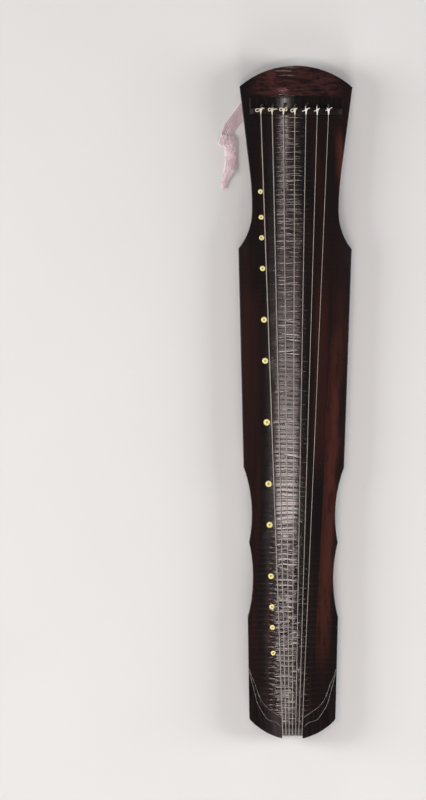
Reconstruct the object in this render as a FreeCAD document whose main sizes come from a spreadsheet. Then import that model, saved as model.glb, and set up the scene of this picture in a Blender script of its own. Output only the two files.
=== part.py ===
import FreeCAD, Part
import Sketcher
import math
import os

# A lacquered seven-string zither, lying flat with its strings up, in millimetres.
# +X runs to the head, +Y to the side with the inlaid studs, +Z up, and the origin lies on the surface
# that it rests on, under the middle of its length. A station is a distance from the tip of the head.

UP = FreeCAD.Vector(0, 0, 1)
SIDES = (("left", 1), ("right", -1))
STRINGS = range(1, 8)
STRING_DIAMETERS = (1.7, 1.55, 1.4, 1.3, 1.2, 1.1, 1.0)
STUD_DIAMETERS = (8.6, 8.7, 9.1, 9.4, 10.4, 10.5, 11.6, 11.0, 10.6, 10.1, 9.5, 9.0, 8.4)
BRIDGE_CORNER = 8
BRIDGE_ROUNDING = 2
STUD_FRACTIONS = (1/8, 1/6, 1/5, 1/4, 1/3, 2/5, 1/2, 3/5, 2/3, 3/4, 4/5, 5/6, 7/8)

# Shape points, each a distance from the tail's end or the head's tip and an offset from the middle line
TAIL_ROUND = ((33.2, 76.3), (29.5, 73), (12, 49.5))
UPPER_CROWN_EDGE = ((124, 86), (102, 68.5), (59, 51.5), (45, 31), (38, 18.5))
LOWER_CROWN_EDGE = ((106, 84), (72.5, 64), (58, 54), (47, 42), (41, 18.5))
GUARD_BASE = ((33.5, 88.5), (38, 95), (56, 96), (77, 94.2), (80.5, 85), (78, 75.8), (60, 77.4), (45, 81))

# A guard's sections: the share of its height, and how far each has spread from the foot to the base
GUARD_LEVELS = ((0, 0), (0.42, 0.42), (1, 1))

# For each string: the turns round its foot, then the reach of its loose end and the angle that it turns
STRING_TURNS = (1.25, 1.0, 1.25, 1.0, 1.25, 1.25, 1.0)
LOOSE_ENDS = ((11, 20), (9, -25), (12, 30), (46, 62), (10, 30), (12, -20), (44, 55))

# The free cords' common course past the left guard, and each cord's small departures from it
RIBBON = ((42, 63.5), (64.5, 86), (87, 103), (105, 116.5), (119, 123.5))
RIBBON_WANDER = ((0, 0, 0, 0, 0), (0, 0.1, 0.05, -0.05, 0), (0, -0.05, 0.1, 0.05, 0), (0, 0, 0, 0, 0),
                 (-0.05, 0.05, -0.1, 0.05, 0), (0.05, -0.05, 0.05, -0.1, 0), (0, 0.1, -0.05, 0.05, 0))
TASSEL_SECTIONS = ((128.5, 123.5, 13, 6), (141, 125.5, 15.5, 9), (156, 127, 16, 10), (172, 129, 12, 8),
                   (190, 132, 8.5, 6), (206, 134, 6.5, 5), (222, 136, 5, 3.5))

SIZES = {
    "full_length": 1210,
    "head_corner_station": 38,
    "head_half_width": 101.5,
    "taper_end_station": 197,
    "taper_end_half_width": 81.7,
    "neck_station": 263,
    "neck_half_width": 78,
    "shoulder_station": 330,
    "shoulder_half_width": 102,
    "waist_start_from_tail": 488,
    "waist_start_half_width": 90.5,
    "waist_from_tail": 407,
    "waist_half_width": 75,
    "cusp_from_tail": 353,
    "cusp_half_width": 79.8,
    "tail_waist_from_tail": 288,
    "tail_waist_half_width": 72.2,
    "tail_start_from_tail": 218,
    "tail_start_half_width": 81.2,
    "tail_corner_from_tail": 36,
    "tail_corner_half_width": 77.4,
    "lobe_half_width": 18.5,
    "foot_height": 26,
    "bottom_thickness": 10,
    "ridge_rise_head": 44,
    "ridge_rise_middle": 43,
    "ridge_rise_tail": 35.7,
    "arch_radius": 327,
    "forehead_station": 60,
    "forehead_drop": 16,
    "top_wall": 11,
    "side_wall": 14,
    "chamber_start_station": 132,
    "chamber_end_from_tail": 92,
    "baffle_thickness": 9,
    "baffle_margin": 16,
    "round_hole_station": 519,
    "round_hole_radius": 44,
    "long_hole_from_tail": 222,
    "long_hole_length": 115,
    "long_hole_width": 34,
    "rim_width": 1.6,
    "rim_depth": 4,
    "bridge_station": 89,
    "bridge_thickness": 11,
    "bridge_length": 166,
    "bridge_height": 17,
    "bridge_crest_radius": 520,
    "eye_strip_start_station": 55,
    "eye_strip_bow": 4,
    "eye_strip_depth": 6,
    "inlay_proud": 1.0,
    "string_length": 1106,
    "string_pitch_at_bridge": 20.25,
    "string_shift_at_bridge": 2.5,
    "string_pitch_at_nut": 5.8,
    "string_clearance": 0.1,
    "nut_rise": 2,
    "nut_edge_radius": 6,
    "nut_recess": 4.7,
    "nut_depth_along": 19,
    "lower_nut_length": 36,
    "lower_nut_proud": 1,
    "crown_seat_depth": 12,
    "stud_line_head_offset": 62.9,
    "stud_line_tail_offset": 35.3,
    "stud_depth": 1.5,
    "peg_station": 70,
    "peg_pitch": 19,
    "peg_length": 42.5,
    "peg_head_radius": 8.4,
    "peg_collar_radius": 7.6,
    "peg_neck_radius": 5.2,
    "peg_bore_radius": 1.9,
    "peg_flute_radius": 9,
    "peg_flute_depth": 0.7,
    "peg_clearance": 0.3,
    "peg_side_hole_radius": 2.4,
    "pool_depth": 22,
    "pool_end_margin": 17,
    "pool_head_wall": 18,
    "pool_tail_wall": 12,
    "eye_radius": 2.4,
    "cord_diameter": 2.6,
    "winding_turns": 2,
    "winding_pitch": 3.1,
    "lane_pitch": 3.2,
    "guard_foot_station": 40,
    "guard_foot_offset": 88.5,
    "guard_foot_radius": 5.5,
    "goose_foot_from_tail": 352,
    "goose_foot_offset": 60,
    "goose_foot_radius": 17.3,
    "goose_foot_neck_radius": 9.2,
    "tenon_width": 13,
    "tenon_height": 20,
    "foot_land_length": 44,
    "foot_land_inner_offset": 45,
    "heaven_pillar_station": 345,
    "heaven_pillar_radius": 9,
    "earth_pillar_station": 700,
    "earth_pillar_width": 14,
    "winding_gap": 0.6,
}

doc = FreeCAD.newDocument("zither")
sheet = doc.addObject("Spreadsheet::Sheet", "Dimensions")
for row, (alias, value) in enumerate(SIZES.items(), start=1):
    sheet.set(f"A{row}", alias)
    sheet.set(f"B{row}", str(value))
    sheet.setAlias(f"B{row}", alias)
doc.recompute()


def size(alias):
    return float(getattr(sheet, alias))


def along(station):
    return size("full_length")/2 - station


def from_tail(distance):
    return distance - size("full_length")/2


def point(x, y, z=0.0):
    return FreeCAD.Vector(x, y, z)


UNDERSIDE = size("foot_height")
JOINT_PLANE = UNDERSIDE + size("bottom_thickness")
OVERHANG = 10
FAR_ABOVE = UNDERSIDE + 80
FAR_BELOW = UNDERSIDE - OVERHANG
FAR_ASIDE = 150
BEYOND_TAIL = size("full_length") + OVERHANG
LONG_HOLE_X = from_tail(size("long_hole_from_tail"))
ROUND_HOLE_X = along(size("round_hole_station"))
GOOSE_FOOT_X = from_tail(size("goose_foot_from_tail"))
PEG_X = along(size("peg_station"))


def cells(text):
    """An expression on the sheet, from one written with the bare names of its cells."""
    words = text.split(" ")
    return " ".join(f"Dimensions.{word}" if word in SIZES else word for word in words)


def bind(feature, expressions):
    for name, text in expressions.items():
        feature.setExpression(name, cells(text))


def plain_feature(name, shape):
    feature = doc.addObject("Part::Feature", name)
    feature.Shape = shape
    return feature


def shared(name, *features):
    feature = doc.addObject("Part::MultiCommon", name)
    feature.Shapes = list(features)
    return feature


def cut_from(name, base, tool):
    feature = doc.addObject("Part::Cut", name)
    feature.Base = base
    feature.Tool = tool
    return feature


def sub_part(feature, label):
    feature.Label = label
    nodes.append(feature)
    return feature


def line(start, end):
    return Part.LineSegment(start, end).toShape()


def arc(start, middle, end):
    return Part.Arc(start, middle, end).toShape()


def prism(edges, low, high):
    """The solid between two heights over a closed plan outline."""
    face = Part.Face(Part.Wire(Part.__sortEdges__(edges)))
    face.translate(point(0, 0, low))
    return face.extrude(point(0, 0, high - low))


def block(low, high):
    """A box between two corners."""
    return Part.makeBox(high.x - low.x, high.y - low.y, high.z - low.z, low)


# The outline of the boards, seen from above

def side_edges(side, inset=0):
    """The outline on one side, from the head's corner to the tail's lobe."""
    def place(station, half_width):
        return point(along(station), side*(half_width - inset))

    def tail_place(distance, half_width):
        return point(from_tail(distance), side*(half_width - inset))

    corner = place(size("head_corner_station"), size("head_half_width"))
    taper_end = place(size("taper_end_station"), size("taper_end_half_width"))
    neck = place(size("neck_station"), size("neck_half_width"))
    shoulder = place(size("shoulder_station"), size("shoulder_half_width"))
    waist_start = tail_place(size("waist_start_from_tail"), size("waist_start_half_width"))
    waist = tail_place(size("waist_from_tail"), size("waist_half_width"))
    cusp = tail_place(size("cusp_from_tail"), size("cusp_half_width"))
    tail_waist = tail_place(size("tail_waist_from_tail"), size("tail_waist_half_width"))
    tail_start = tail_place(size("tail_start_from_tail"), size("tail_start_half_width"))
    tail_corner = tail_place(size("tail_corner_from_tail"), size("tail_corner_half_width"))
    lobe = tail_place(0, size("lobe_half_width"))
    return [
        line(corner, taper_end),
        tangent_arc(taper_end, taper_end - corner, neck),
        tangent_arc(neck, point(-1, 0), shoulder),
        line(shoulder, waist_start),
        arc(waist_start, waist, cusp),
        arc(cusp, tail_waist, tail_start),
        line(tail_start, tail_corner),
        arc(tail_corner, tail_place(*TAIL_ROUND[0]), tail_place(*TAIL_ROUND[1])),
        arc(tail_place(*TAIL_ROUND[1]), tail_place(*TAIL_ROUND[2]), lobe),
    ]


def biarc(start, start_direction, end, end_direction):
    """Two arcs that join two points smoothly, each leaving its point along the direction given there."""
    chord = end - start
    both = start_direction + end_direction
    bend = 2*(1 - start_direction.dot(end_direction))
    if bend < 1e-9:
        reach = chord.dot(chord)/(2*chord.dot(both))
    else:
        reach = (-chord.dot(both) + math.sqrt(chord.dot(both)**2 + bend*chord.dot(chord)))/bend
    meeting = (start + end + (start_direction - end_direction)*reach)/2
    meeting_direction = ((end - end_direction*reach) - (start + start_direction*reach)).normalize()
    return [tangent_arc(start, start_direction, meeting), tangent_arc(meeting, meeting_direction, end)]


def arc_centre(start, direction, end):
    """The centre of the circle that leaves start along direction and goes through end."""
    along_it = FreeCAD.Vector(direction).normalize()
    chord = end - start
    across = chord - along_it*chord.dot(along_it)
    if across.Length < 1e-7*chord.Length:
        return None
    across.normalize()
    return start + across*(chord.dot(chord)/(2*chord.dot(across)))


def tangent_arc(start, direction, end):
    """The arc under a half circle that leaves start along direction, or a line where it doesn't bend."""
    centre = arc_centre(start, direction, end)
    if centre is None:
        return line(start, end)
    outward = ((start + end)/2 - centre).normalize()
    return arc(start, centre + outward*(start - centre).Length, end)


def outline(inset=0):
    left = side_edges(1, inset)
    right = side_edges(-1, inset)
    tip = point(along(inset), 0)
    head = arc(left[0].Vertexes[0].Point, tip, right[0].Vertexes[0].Point)
    tail = line(left[-1].Vertexes[-1].Point, right[-1].Vertexes[-1].Point)
    return [head, *left, tail, *right]


# The arched upper surface

def ridge(station):
    """The height of the boards' middle line above the underside."""
    first = size("forehead_station")
    step = (BEYOND_TAIL - first)/2
    way = (max(station, first) - first)/step
    head, middle, tail = size("ridge_rise_head"), size("ridge_rise_middle"), size("ridge_rise_tail")
    rise = head + way*(-3*head + 4*middle - tail)/2 + way**2*(head - 2*middle + tail)/2
    fall = size("forehead_drop")*(max(first - station, 0)/first)**2
    return rise - fall


def arch_drop(offset):
    radius = size("arch_radius")
    return radius - math.sqrt(radius**2 - offset**2)


def surface(station, offset):
    """The height of the boards' upper surface."""
    return UNDERSIDE + ridge(station) - arch_drop(offset)


def arched_stretch(first, last, lift):
    """A loft of three arched sections, evenly spaced, higher or lower than the surface by a lift."""
    half_width = max(size("shoulder_half_width"), size("head_half_width")) + OVERHANG
    sections = []
    for station in (first, (first + last)/2, last):
        x = along(station)
        edge = UNDERSIDE + ridge(station) + lift - arch_drop(half_width)
        top = UNDERSIDE + ridge(station) + lift
        low_left, low_right = point(x, half_width, FAR_BELOW), point(x, -half_width, FAR_BELOW)
        left, right = point(x, half_width, edge), point(x, -half_width, edge)
        edges = [line(low_left, left), arc(left, point(x, 0, top), right), line(right, low_right),
                 line(low_right, low_left)]
        sections.append(Part.Wire(edges))
    return Part.makeLoft(sections, True, False)


def under_arch(name, lift=0):
    """Everything below the upper surface, as the forehead's stretch and the rest."""
    rest = arched_stretch(size("forehead_station"), BEYOND_TAIL, lift)
    forehead = arched_stretch(-OVERHANG, size("forehead_station"), lift)
    return plain_feature(name, rest.fuse(forehead))


nodes = []
plan = plain_feature("plan_prism", prism(outline(), FAR_BELOW, FAR_ABOVE))
arch_top = under_arch("arch_top")
arch_proud = under_arch("arch_proud", size("inlay_proud"))
arch_strip_floor = under_arch("arch_strip_floor", -size("eye_strip_depth"))
arch_crown_floor = under_arch("arch_crown_floor", -size("crown_seat_depth"))
chamber_roof = arched_stretch(size("forehead_station"), BEYOND_TAIL, -size("top_wall"))
baffle_floor = arched_stretch(size("forehead_station"), BEYOND_TAIL,
                              -size("top_wall") - size("baffle_thickness"))


# The sound chamber, with the thick baffles over the two holes and the lands over the feet

def plan_box(first, last, low_offset, high_offset, low, high):
    """A box between two stations, two offsets and two heights."""
    return block(point(along(last), low_offset, low), point(along(first), high_offset, high))


def sound_chamber():
    start = size("chamber_start_station")
    end = size("full_length") - size("chamber_end_from_tail")
    whole = prism(outline(size("side_wall")), JOINT_PLANE, FAR_ABOVE)
    space = whole.common(plan_box(start, end, -FAR_ASIDE, FAR_ASIDE, JOINT_PLANE, FAR_ABOVE))
    space = space.common(chamber_roof)
    margin = size("baffle_margin")
    round_reach = size("round_hole_radius") + margin
    long_station = size("full_length") - size("long_hole_from_tail")
    long_reach = size("long_hole_length")/2 + margin
    half_width = size("long_hole_width")/2 + margin
    round_station = size("round_hole_station")
    for first, last, width in (
            (round_station - round_reach, round_station + round_reach, round_reach),
            (long_station - long_reach, long_station + long_reach, half_width)):
        baffle = plan_box(first, last, -width, width, JOINT_PLANE, FAR_ABOVE)
        space = space.cut(baffle.cut(baffle_floor))
    foot_station = size("full_length") - size("goose_foot_from_tail")
    reach = size("foot_land_length")/2
    for _, side in SIDES:
        inner, outer = side*size("foot_land_inner_offset"), side*FAR_ASIDE
        land = plan_box(foot_station - reach, foot_station + reach, min(inner, outer), max(inner, outer),
                        JOINT_PLANE, FAR_ABOVE)
        space = space.cut(land)
    return space


def half_pool_length():
    """The pool reaches past the middles of the outermost pegs by its end margin."""
    return 3*size("peg_pitch") + size("pool_end_margin")


def peg_pool(low, high):
    station = size("peg_station")
    half_length = half_pool_length()
    return plan_box(station - size("pool_head_wall"), station + size("pool_tail_wall"),
                    -half_length, half_length, low, high)


def peg_offset(number):
    """How far a peg is to the left of the middle line; peg 1 is the leftmost."""
    return (4 - number)*size("peg_pitch")


def eye_holes():
    radius = size("eye_radius")
    low = JOINT_PLANE
    holes = []
    for number in STRINGS:
        foot = point(PEG_X, peg_offset(number), low)
        holes.append(Part.makeCylinder(radius, FAR_ABOVE - low, foot))
    return Part.makeCompound(holes)


def eye_strip_plan():
    """The plan of the flat bar between the forehead and the bridge, bowed towards the head."""
    half_length = size("bridge_length")/2
    start = size("eye_strip_start_station")
    corner = start + size("eye_strip_bow")
    end = size("bridge_station") - size("bridge_thickness")
    left, right = point(along(corner), half_length), point(along(corner), -half_length)
    left_end, right_end = point(along(end), half_length), point(along(end), -half_length)
    edges = [arc(left, point(along(start), 0), right), line(right, right_end),
             line(right_end, left_end), line(left_end, left)]
    return prism(edges, UNDERSIDE, FAR_ABOVE)


def crown_plan(side, inner_edge):
    """The plan of a crown, from its curved inner edge to beyond the board's outline."""
    curve = Part.BSplineCurve()
    stops = [point(from_tail(distance), side*offset) for distance, offset in inner_edge]
    curve.interpolate(stops)
    far = point(from_tail(-OVERHANG), side*FAR_ASIDE)
    first_corner = point(stops[0].x, far.y)
    last_corner = point(far.x, stops[-1].y)
    edges = [curve.toShape(), line(stops[-1], last_corner), line(last_corner, far),
             line(far, first_corner), line(first_corner, stops[0])]
    return edges


def nut_seat():
    half_width = size("lobe_half_width")
    start = size("full_length") - size("nut_recess") - size("nut_depth_along")
    return plan_box(start, BEYOND_TAIL, -half_width, half_width, JOINT_PLANE, FAR_ABOVE)


def stud_station(fraction):
    return size("bridge_station") + fraction*size("string_length")


def stud_cylinder(index):
    """One inlaid stud, square to the surface where it lies."""
    station = stud_station(STUD_FRACTIONS[index])
    way = (STUD_FRACTIONS[index] - STUD_FRACTIONS[0])/(STUD_FRACTIONS[-1] - STUD_FRACTIONS[0])
    head_offset, tail_offset = size("stud_line_head_offset"), size("stud_line_tail_offset")
    offset = head_offset + way*(tail_offset - head_offset)
    spot = point(along(station), offset, surface(station, offset))
    slope = (surface(station - 1, offset) - surface(station + 1, offset))/2
    lean = offset/math.sqrt(size("arch_radius")**2 - offset**2)
    axis = point(-slope, lean, 1).normalize()
    low_end = spot - axis*size("stud_depth")
    return Part.makeCylinder(STUD_DIAMETERS[index]/2, size("stud_depth"), low_end, axis)


def tenon_hole(side, low, high):
    half = size("tenon_width")/2
    station = size("full_length") - size("goose_foot_from_tail")
    offset = side*size("goose_foot_offset")
    return plan_box(station - half, station + half, offset - half, offset + half, low, high)


def top_board():
    """The carved upper board: outline under the arch, less its chamber, pool, seats and sockets."""
    stock = shared("top_stock", plan, arch_top)
    above = plain_feature("above_joint", plan_box(-OVERHANG, BEYOND_TAIL, -FAR_ASIDE, FAR_ASIDE,
                                                  JOINT_PLANE, FAR_ABOVE))
    stock = shared("top_blank", stock, above)
    chamber = plain_feature("chamber", sound_chamber())
    pool = plain_feature("top_pool", peg_pool(JOINT_PLANE - 1, UNDERSIDE + size("pool_depth")))
    eyes = plain_feature("eyes", eye_holes())
    strip_seat = cut_from("strip_seat", strip_plan, arch_strip_floor)
    crown_seats = cut_from("crown_seats", upper_crown_plans, arch_crown_floor)
    nut = plain_feature("nut_seat", nut_seat())
    stud_shapes = [stud_cylinder(index) for index in range(len(STUD_FRACTIONS))]
    studs = plain_feature("stud_seats", Part.makeCompound(stud_shapes))
    roof = UNDERSIDE + size("tenon_height") + size("peg_clearance")
    sockets = plain_feature("sockets", Part.makeCompound(
        [tenon_hole(side, JOINT_PLANE - 1, roof) for _, side in SIDES]))
    board = stock
    for tool in (chamber, pool, eyes, strip_seat, crown_seats, nut, studs, sockets):
        board = cut_from(f"board_less_{tool.Name}", board, tool)
    return board


strip_plan = plain_feature("strip_plan", eye_strip_plan())
upper_crown_plans = plain_feature("upper_crown_plans", Part.makeCompound(
    [prism(crown_plan(side, UPPER_CROWN_EDGE), UNDERSIDE, FAR_ABOVE) for _, side in SIDES]))
sub_part(top_board(), "top_board")


# Sketches and bodies

def origin_plane(body, role):
    return next(feature for feature in body.Origin.OriginFeatures if feature.Role == role)


def new_sketch(body, name, role, geometry, height=None):
    """A sketch on one of a body's own planes, raised by an expression where one is given."""
    sketch = body.newObject("Sketcher::SketchObject", name)
    sketch.AttachmentSupport = (origin_plane(body, role), [""])
    sketch.MapMode = "FlatFace"
    sketch.addGeometry(geometry, False)
    if height:
        sketch.setExpression("AttachmentOffset.Base.z", cells(height))
    return sketch


def pad(body, name, sketch, length):
    feature = body.newObject("PartDesign::Pad", name)
    feature.Profile = sketch
    bind(feature, {"Length": length})
    return feature


def pocket(body, name, sketch, length):
    """A cut upwards from a sketch, along +Z."""
    feature = body.newObject("PartDesign::Pocket", name)
    feature.Profile = sketch
    feature.Reversed = True
    bind(feature, {"Length": length})
    return feature


def revolution(body, name, sketch):
    """A turned shape about the sketch's vertical axis."""
    feature = body.newObject("PartDesign::Revolution", name)
    feature.Profile = sketch
    feature.ReferenceAxis = (sketch, ["V_Axis"])
    feature.Angle = 360
    return feature


def circle(x, y, radius):
    return Part.Circle(point(x, y), UP, radius)


def closed_lines(corners):
    following = corners[1:] + corners[:1]
    return [Part.LineSegment(start, end) for start, end in zip(corners, following)]


def rectangle(low_x, low_y, high_x, high_y):
    return closed_lines([point(low_x, low_y), point(high_x, low_y),
                         point(high_x, high_y), point(low_x, high_y)])


def stadium(x, y, length, width):
    """A slot along X with round ends."""
    half, radius = (length - width)/2, width/2
    return [
        Part.LineSegment(point(x - half, y - radius), point(x + half, y - radius)),
        Part.Arc(point(x + half, y - radius), point(x + half + radius, y), point(x + half, y + radius)),
        Part.LineSegment(point(x + half, y + radius), point(x - half, y + radius)),
        Part.Arc(point(x - half, y + radius), point(x - half - radius, y), point(x - half, y - radius)),
    ]


# The bottom board, with its holes, and the pieces let into it

def outline_geometry():
    return [edge.Curve.trim(*edge.ParameterRange) for edge in outline()]


def bottom_board():
    """The flat lower board: sawn to the outline, with two sound holes, the pool, sockets and seats."""
    body = doc.addObject("PartDesign::Body", "bottom_plank")
    base = new_sketch(body, "bottom_outline", "XY_Plane", outline_geometry(), "foot_height")
    pad(body, "bottom_pad", base, "bottom_thickness")
    rim = size("rim_width")
    half_tenon = size("tenon_width")/2
    through = circle(ROUND_HOLE_X, 0, size("round_hole_radius"))
    holes = [through, *stadium(LONG_HOLE_X, 0, size("long_hole_length"), size("long_hole_width"))]
    half_pool = half_pool_length()
    holes += rectangle(PEG_X - size("pool_tail_wall"), -half_pool,
                       PEG_X + size("pool_head_wall"), half_pool)
    for _, side in SIDES:
        offset = side*size("goose_foot_offset")
        holes += rectangle(GOOSE_FOOT_X - half_tenon, offset - half_tenon, GOOSE_FOOT_X + half_tenon,
                           offset + half_tenon)
    hole_sketch = new_sketch(body, "hole_sketch", "XY_Plane", holes, "foot_height")
    pocket(body, "holes", hole_sketch, "bottom_thickness")
    rebates = [circle(ROUND_HOLE_X, 0, size("round_hole_radius") + rim)]
    rebates += stadium(LONG_HOLE_X, 0, size("long_hole_length") + 2*rim, size("long_hole_width") + 2*rim)
    rebate_sketch = new_sketch(body, "rebate_sketch", "XY_Plane", rebates, "foot_height")
    pocket(body, "rebates", rebate_sketch, "rim_depth")
    return body


def rim(name, inner, outer):
    """A thin lining let into a sound hole's lower edge."""
    body = doc.addObject("PartDesign::Body", f"{name}_body")
    sketch = new_sketch(body, f"{name}_sketch", "XY_Plane", [*inner, *outer], "foot_height")
    pad(body, f"{name}_pad", sketch, "rim_depth")
    return sub_part(body, name)


def lower_nut_profile(proud):
    """The lower tail nut's plan block with its rounded lower edge."""
    half_width = size("lobe_half_width")
    end = from_tail(size("nut_recess"))
    start = end + size("lower_nut_length")
    low = UNDERSIDE - proud
    radius = size("nut_edge_radius")
    turn = radius*(1 - math.sqrt(0.5))
    edges = [line(point(start, -half_width, JOINT_PLANE), point(start, -half_width, low)),
             line(point(start, -half_width, low), point(end + radius, -half_width, low)),
             arc(point(end + radius, -half_width, low), point(end + turn, -half_width, low + turn),
                 point(end, -half_width, low + radius)),
             line(point(end, -half_width, low + radius), point(end, -half_width, JOINT_PLANE)),
             line(point(end, -half_width, JOINT_PLANE), point(start, -half_width, JOINT_PLANE))]
    return Part.Face(Part.Wire(edges)).extrude(point(0, 2*half_width, 0))


NUT_CREST = surface(size("bridge_station") + size("string_length"), 0) + size("nut_rise")
NUT_STEP = 0.3


def tail_nut_shape():
    """The upper tail nut: it rises to the crest that carries the strings and rounds down the tail's end."""
    half_width = size("lobe_half_width")
    end = from_tail(size("nut_recess"))
    start = end + size("nut_depth_along")
    radius = size("nut_edge_radius")
    turn = radius*(1 - math.sqrt(0.5))
    shoulder = surface(along(start), 0) + NUT_STEP
    profile = [point(start, 0, JOINT_PLANE), point(start, 0, shoulder), point(end + 2*radius, 0, NUT_CREST),
               point(end + radius, 0, NUT_CREST)]
    low = [point(end, 0, NUT_CREST - radius), point(end, 0, JOINT_PLANE)]
    edges = [line(a, b) for a, b in zip(profile, profile[1:])]
    edges.append(arc(profile[-1], point(end + turn, 0, NUT_CREST - turn), low[0]))
    edges += [line(low[0], low[1]), line(low[1], profile[0])]
    face = Part.Face(Part.Wire(edges))
    face.translate(point(0, -half_width, 0))
    return face.extrude(point(0, 2*half_width, 0))


bottom_plank = bottom_board()
doc.recompute()
lower_crown_plans = plain_feature("lower_crown_plans", Part.makeCompound(
    [prism(crown_plan(side, LOWER_CROWN_EDGE), FAR_BELOW, JOINT_PLANE) for _, side in SIDES]))
lower_nut = plain_feature("lower_nut", lower_nut_profile(size("lower_nut_proud")))
lower_nut_space = plan_box(size("full_length") - size("nut_recess") - size("lower_nut_length"), BEYOND_TAIL,
                           -size("lobe_half_width"), size("lobe_half_width"), FAR_BELOW, JOINT_PLANE)
board = cut_from("bottom_less_crowns", bottom_plank, lower_crown_plans)
board = cut_from("bottom_less_nut", board, plain_feature("lower_nut_space", lower_nut_space))
sub_part(board, "bottom_board")
sub_part(lower_nut, "lower_tail_nut")
sub_part(plain_feature("tail_nut_solid", tail_nut_shape()), "tail_nut")

hole_radius = size("round_hole_radius")
rim_width = size("rim_width")
rim("round_hole_rim", [circle(ROUND_HOLE_X, 0, hole_radius)],
    [circle(ROUND_HOLE_X, 0, hole_radius + rim_width)])
rim("long_hole_rim", stadium(LONG_HOLE_X, 0, size("long_hole_length"), size("long_hole_width")),
    stadium(LONG_HOLE_X, 0, size("long_hole_length") + 2*rim_width, size("long_hole_width") + 2*rim_width))

proud_underside = UNDERSIDE - size("inlay_proud")
for name, side in SIDES:
    upper_prism = prism(crown_plan(side, UPPER_CROWN_EDGE), UNDERSIDE, FAR_ABOVE)
    upper = plain_feature(f"upper_plan_{name}", upper_prism)
    raised = shared(f"upper_raised_{name}", upper, arch_proud, plan)
    sub_part(cut_from(f"upper_{name}", raised, arch_crown_floor), f"upper_crown_{name}")
    lower = prism(crown_plan(side, LOWER_CROWN_EDGE), proud_underside, JOINT_PLANE)
    lower = plain_feature(f"lower_plan_{name}", lower)
    sub_part(shared(f"lower_{name}", lower, plan), f"lower_crown_{name}")

strip = shared("strip_raised", strip_plan, arch_proud)
eyes = plain_feature("strip_eyes", eye_holes())
strip_blank = cut_from("strip_blank", strip, arch_strip_floor)
sub_part(cut_from("strip_drilled", strip_blank, eyes), "string_eye_strip")


# The bridge

def bridge_crest(offset):
    radius = size("bridge_crest_radius")
    top = surface(size("bridge_station"), 0) + size("bridge_height")
    return top - (radius - math.sqrt(radius**2 - offset**2))


def bridge_blank():
    """The bridge's front view, raised from below the boards' surface, with its crest edges rounded."""
    half_length = size("bridge_length")/2
    x = along(size("bridge_station"))
    low = JOINT_PLANE
    crest_end = half_length - BRIDGE_CORNER
    lean = math.asin(crest_end/size("bridge_crest_radius"))
    corner = point(x, half_length, bridge_crest(half_length) - BRIDGE_CORNER)
    crest_corner = point(x, crest_end, bridge_crest(crest_end))
    bend = biarc(corner, UP, crest_corner, point(0, -math.cos(lean), math.sin(lean)))
    other_bend = [edge.mirror(point(0, 0), point(0, 1)) for edge in bend]
    far_corner, far_crest = point(x, -corner.y, corner.z), point(x, -crest_end, crest_corner.z)
    crest = arc(crest_corner, point(x, 0, bridge_crest(0)), far_crest)
    foot, far_foot = point(x, half_length, low), point(x, -half_length, low)
    edges = [line(foot, corner), *bend, crest, *other_bend,
             line(far_corner, far_foot), line(far_foot, foot)]
    face = Part.Face(Part.Wire(Part.__sortEdges__(edges)))
    solid = face.extrude(point(size("bridge_thickness"), 0, 0))
    rounded = []
    for edge in solid.Edges:
        middle = sum(edge.ParameterRange)/2
        tangent = edge.tangentAt(middle)
        if edge.valueAt(middle).z > corner.z and abs(tangent.x) < 0.5:
            rounded.append(edge)
    return solid.makeFillet(BRIDGE_ROUNDING, rounded)


sub_part(cut_from("bridge_seated", plain_feature("bridge_blank", bridge_blank()), arch_top), "bridge")

studs = [stud_cylinder(index) for index in range(len(STUD_FRACTIONS))]
sub_part(plain_feature("stud_group", Part.makeCompound(studs)), "inlaid_studs")


# The sound posts

heaven = doc.addObject("Part::Cylinder", "heaven_post")
bind(heaven, {"Radius": "heaven_pillar_radius", "Height": "ridge_rise_head",
              "Placement.Base.x": "full_length / 2 - heaven_pillar_station",
              "Placement.Base.z": "foot_height + bottom_thickness"})
earth = doc.addObject("Part::Box", "earth_post")
bind(earth, {"Length": "earth_pillar_width", "Width": "earth_pillar_width", "Height": "ridge_rise_head",
             "Placement.Base.x": "full_length / 2 - earth_pillar_station - earth_pillar_width / 2",
             "Placement.Base.y": "0 - earth_pillar_width / 2",
             "Placement.Base.z": "foot_height + bottom_thickness"})
roof = plain_feature("chamber_roof", chamber_roof)
sub_part(shared("heaven_fitted", heaven, roof), "heaven_pillar")
sub_part(shared("earth_fitted", earth, roof), "earth_pillar")


# What the instrument stands on

def peg_guard(side):
    """A fan-shaped block that narrows downwards to a small round foot."""
    station, offset = size("guard_foot_station"), size("guard_foot_offset")
    radius = size("guard_foot_radius")
    middle = sum(base_station for base_station, base_offset in GUARD_BASE)/len(GUARD_BASE)
    sections = []
    for share, spread in GUARD_LEVELS:
        stops = []
        for base_station, base_offset in GUARD_BASE:
            angle = math.atan2(base_offset - offset, base_station - (station + middle)/2)
            foot_station = station + radius*math.cos(angle)
            foot_offset = offset + radius*math.sin(angle)
            stops.append(point(along(foot_station + spread*(base_station - foot_station)),
                               side*(foot_offset + spread*(base_offset - foot_offset)), share*UNDERSIDE))
        curve = Part.BSplineCurve()
        curve.interpolate(Points=stops, PeriodicFlag=True)
        sections.append(Part.Wire([curve.toShape()]))
    return Part.makeLoft(sections, True, False)


for name, side in SIDES:
    sub_part(plain_feature(f"guard_{name}", peg_guard(side)), f"peg_guard_{name}")


FOOT_EDGE, FOOT_RIM, FOOT_NECK_START = 1.5, 1.5, 8.2


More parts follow.
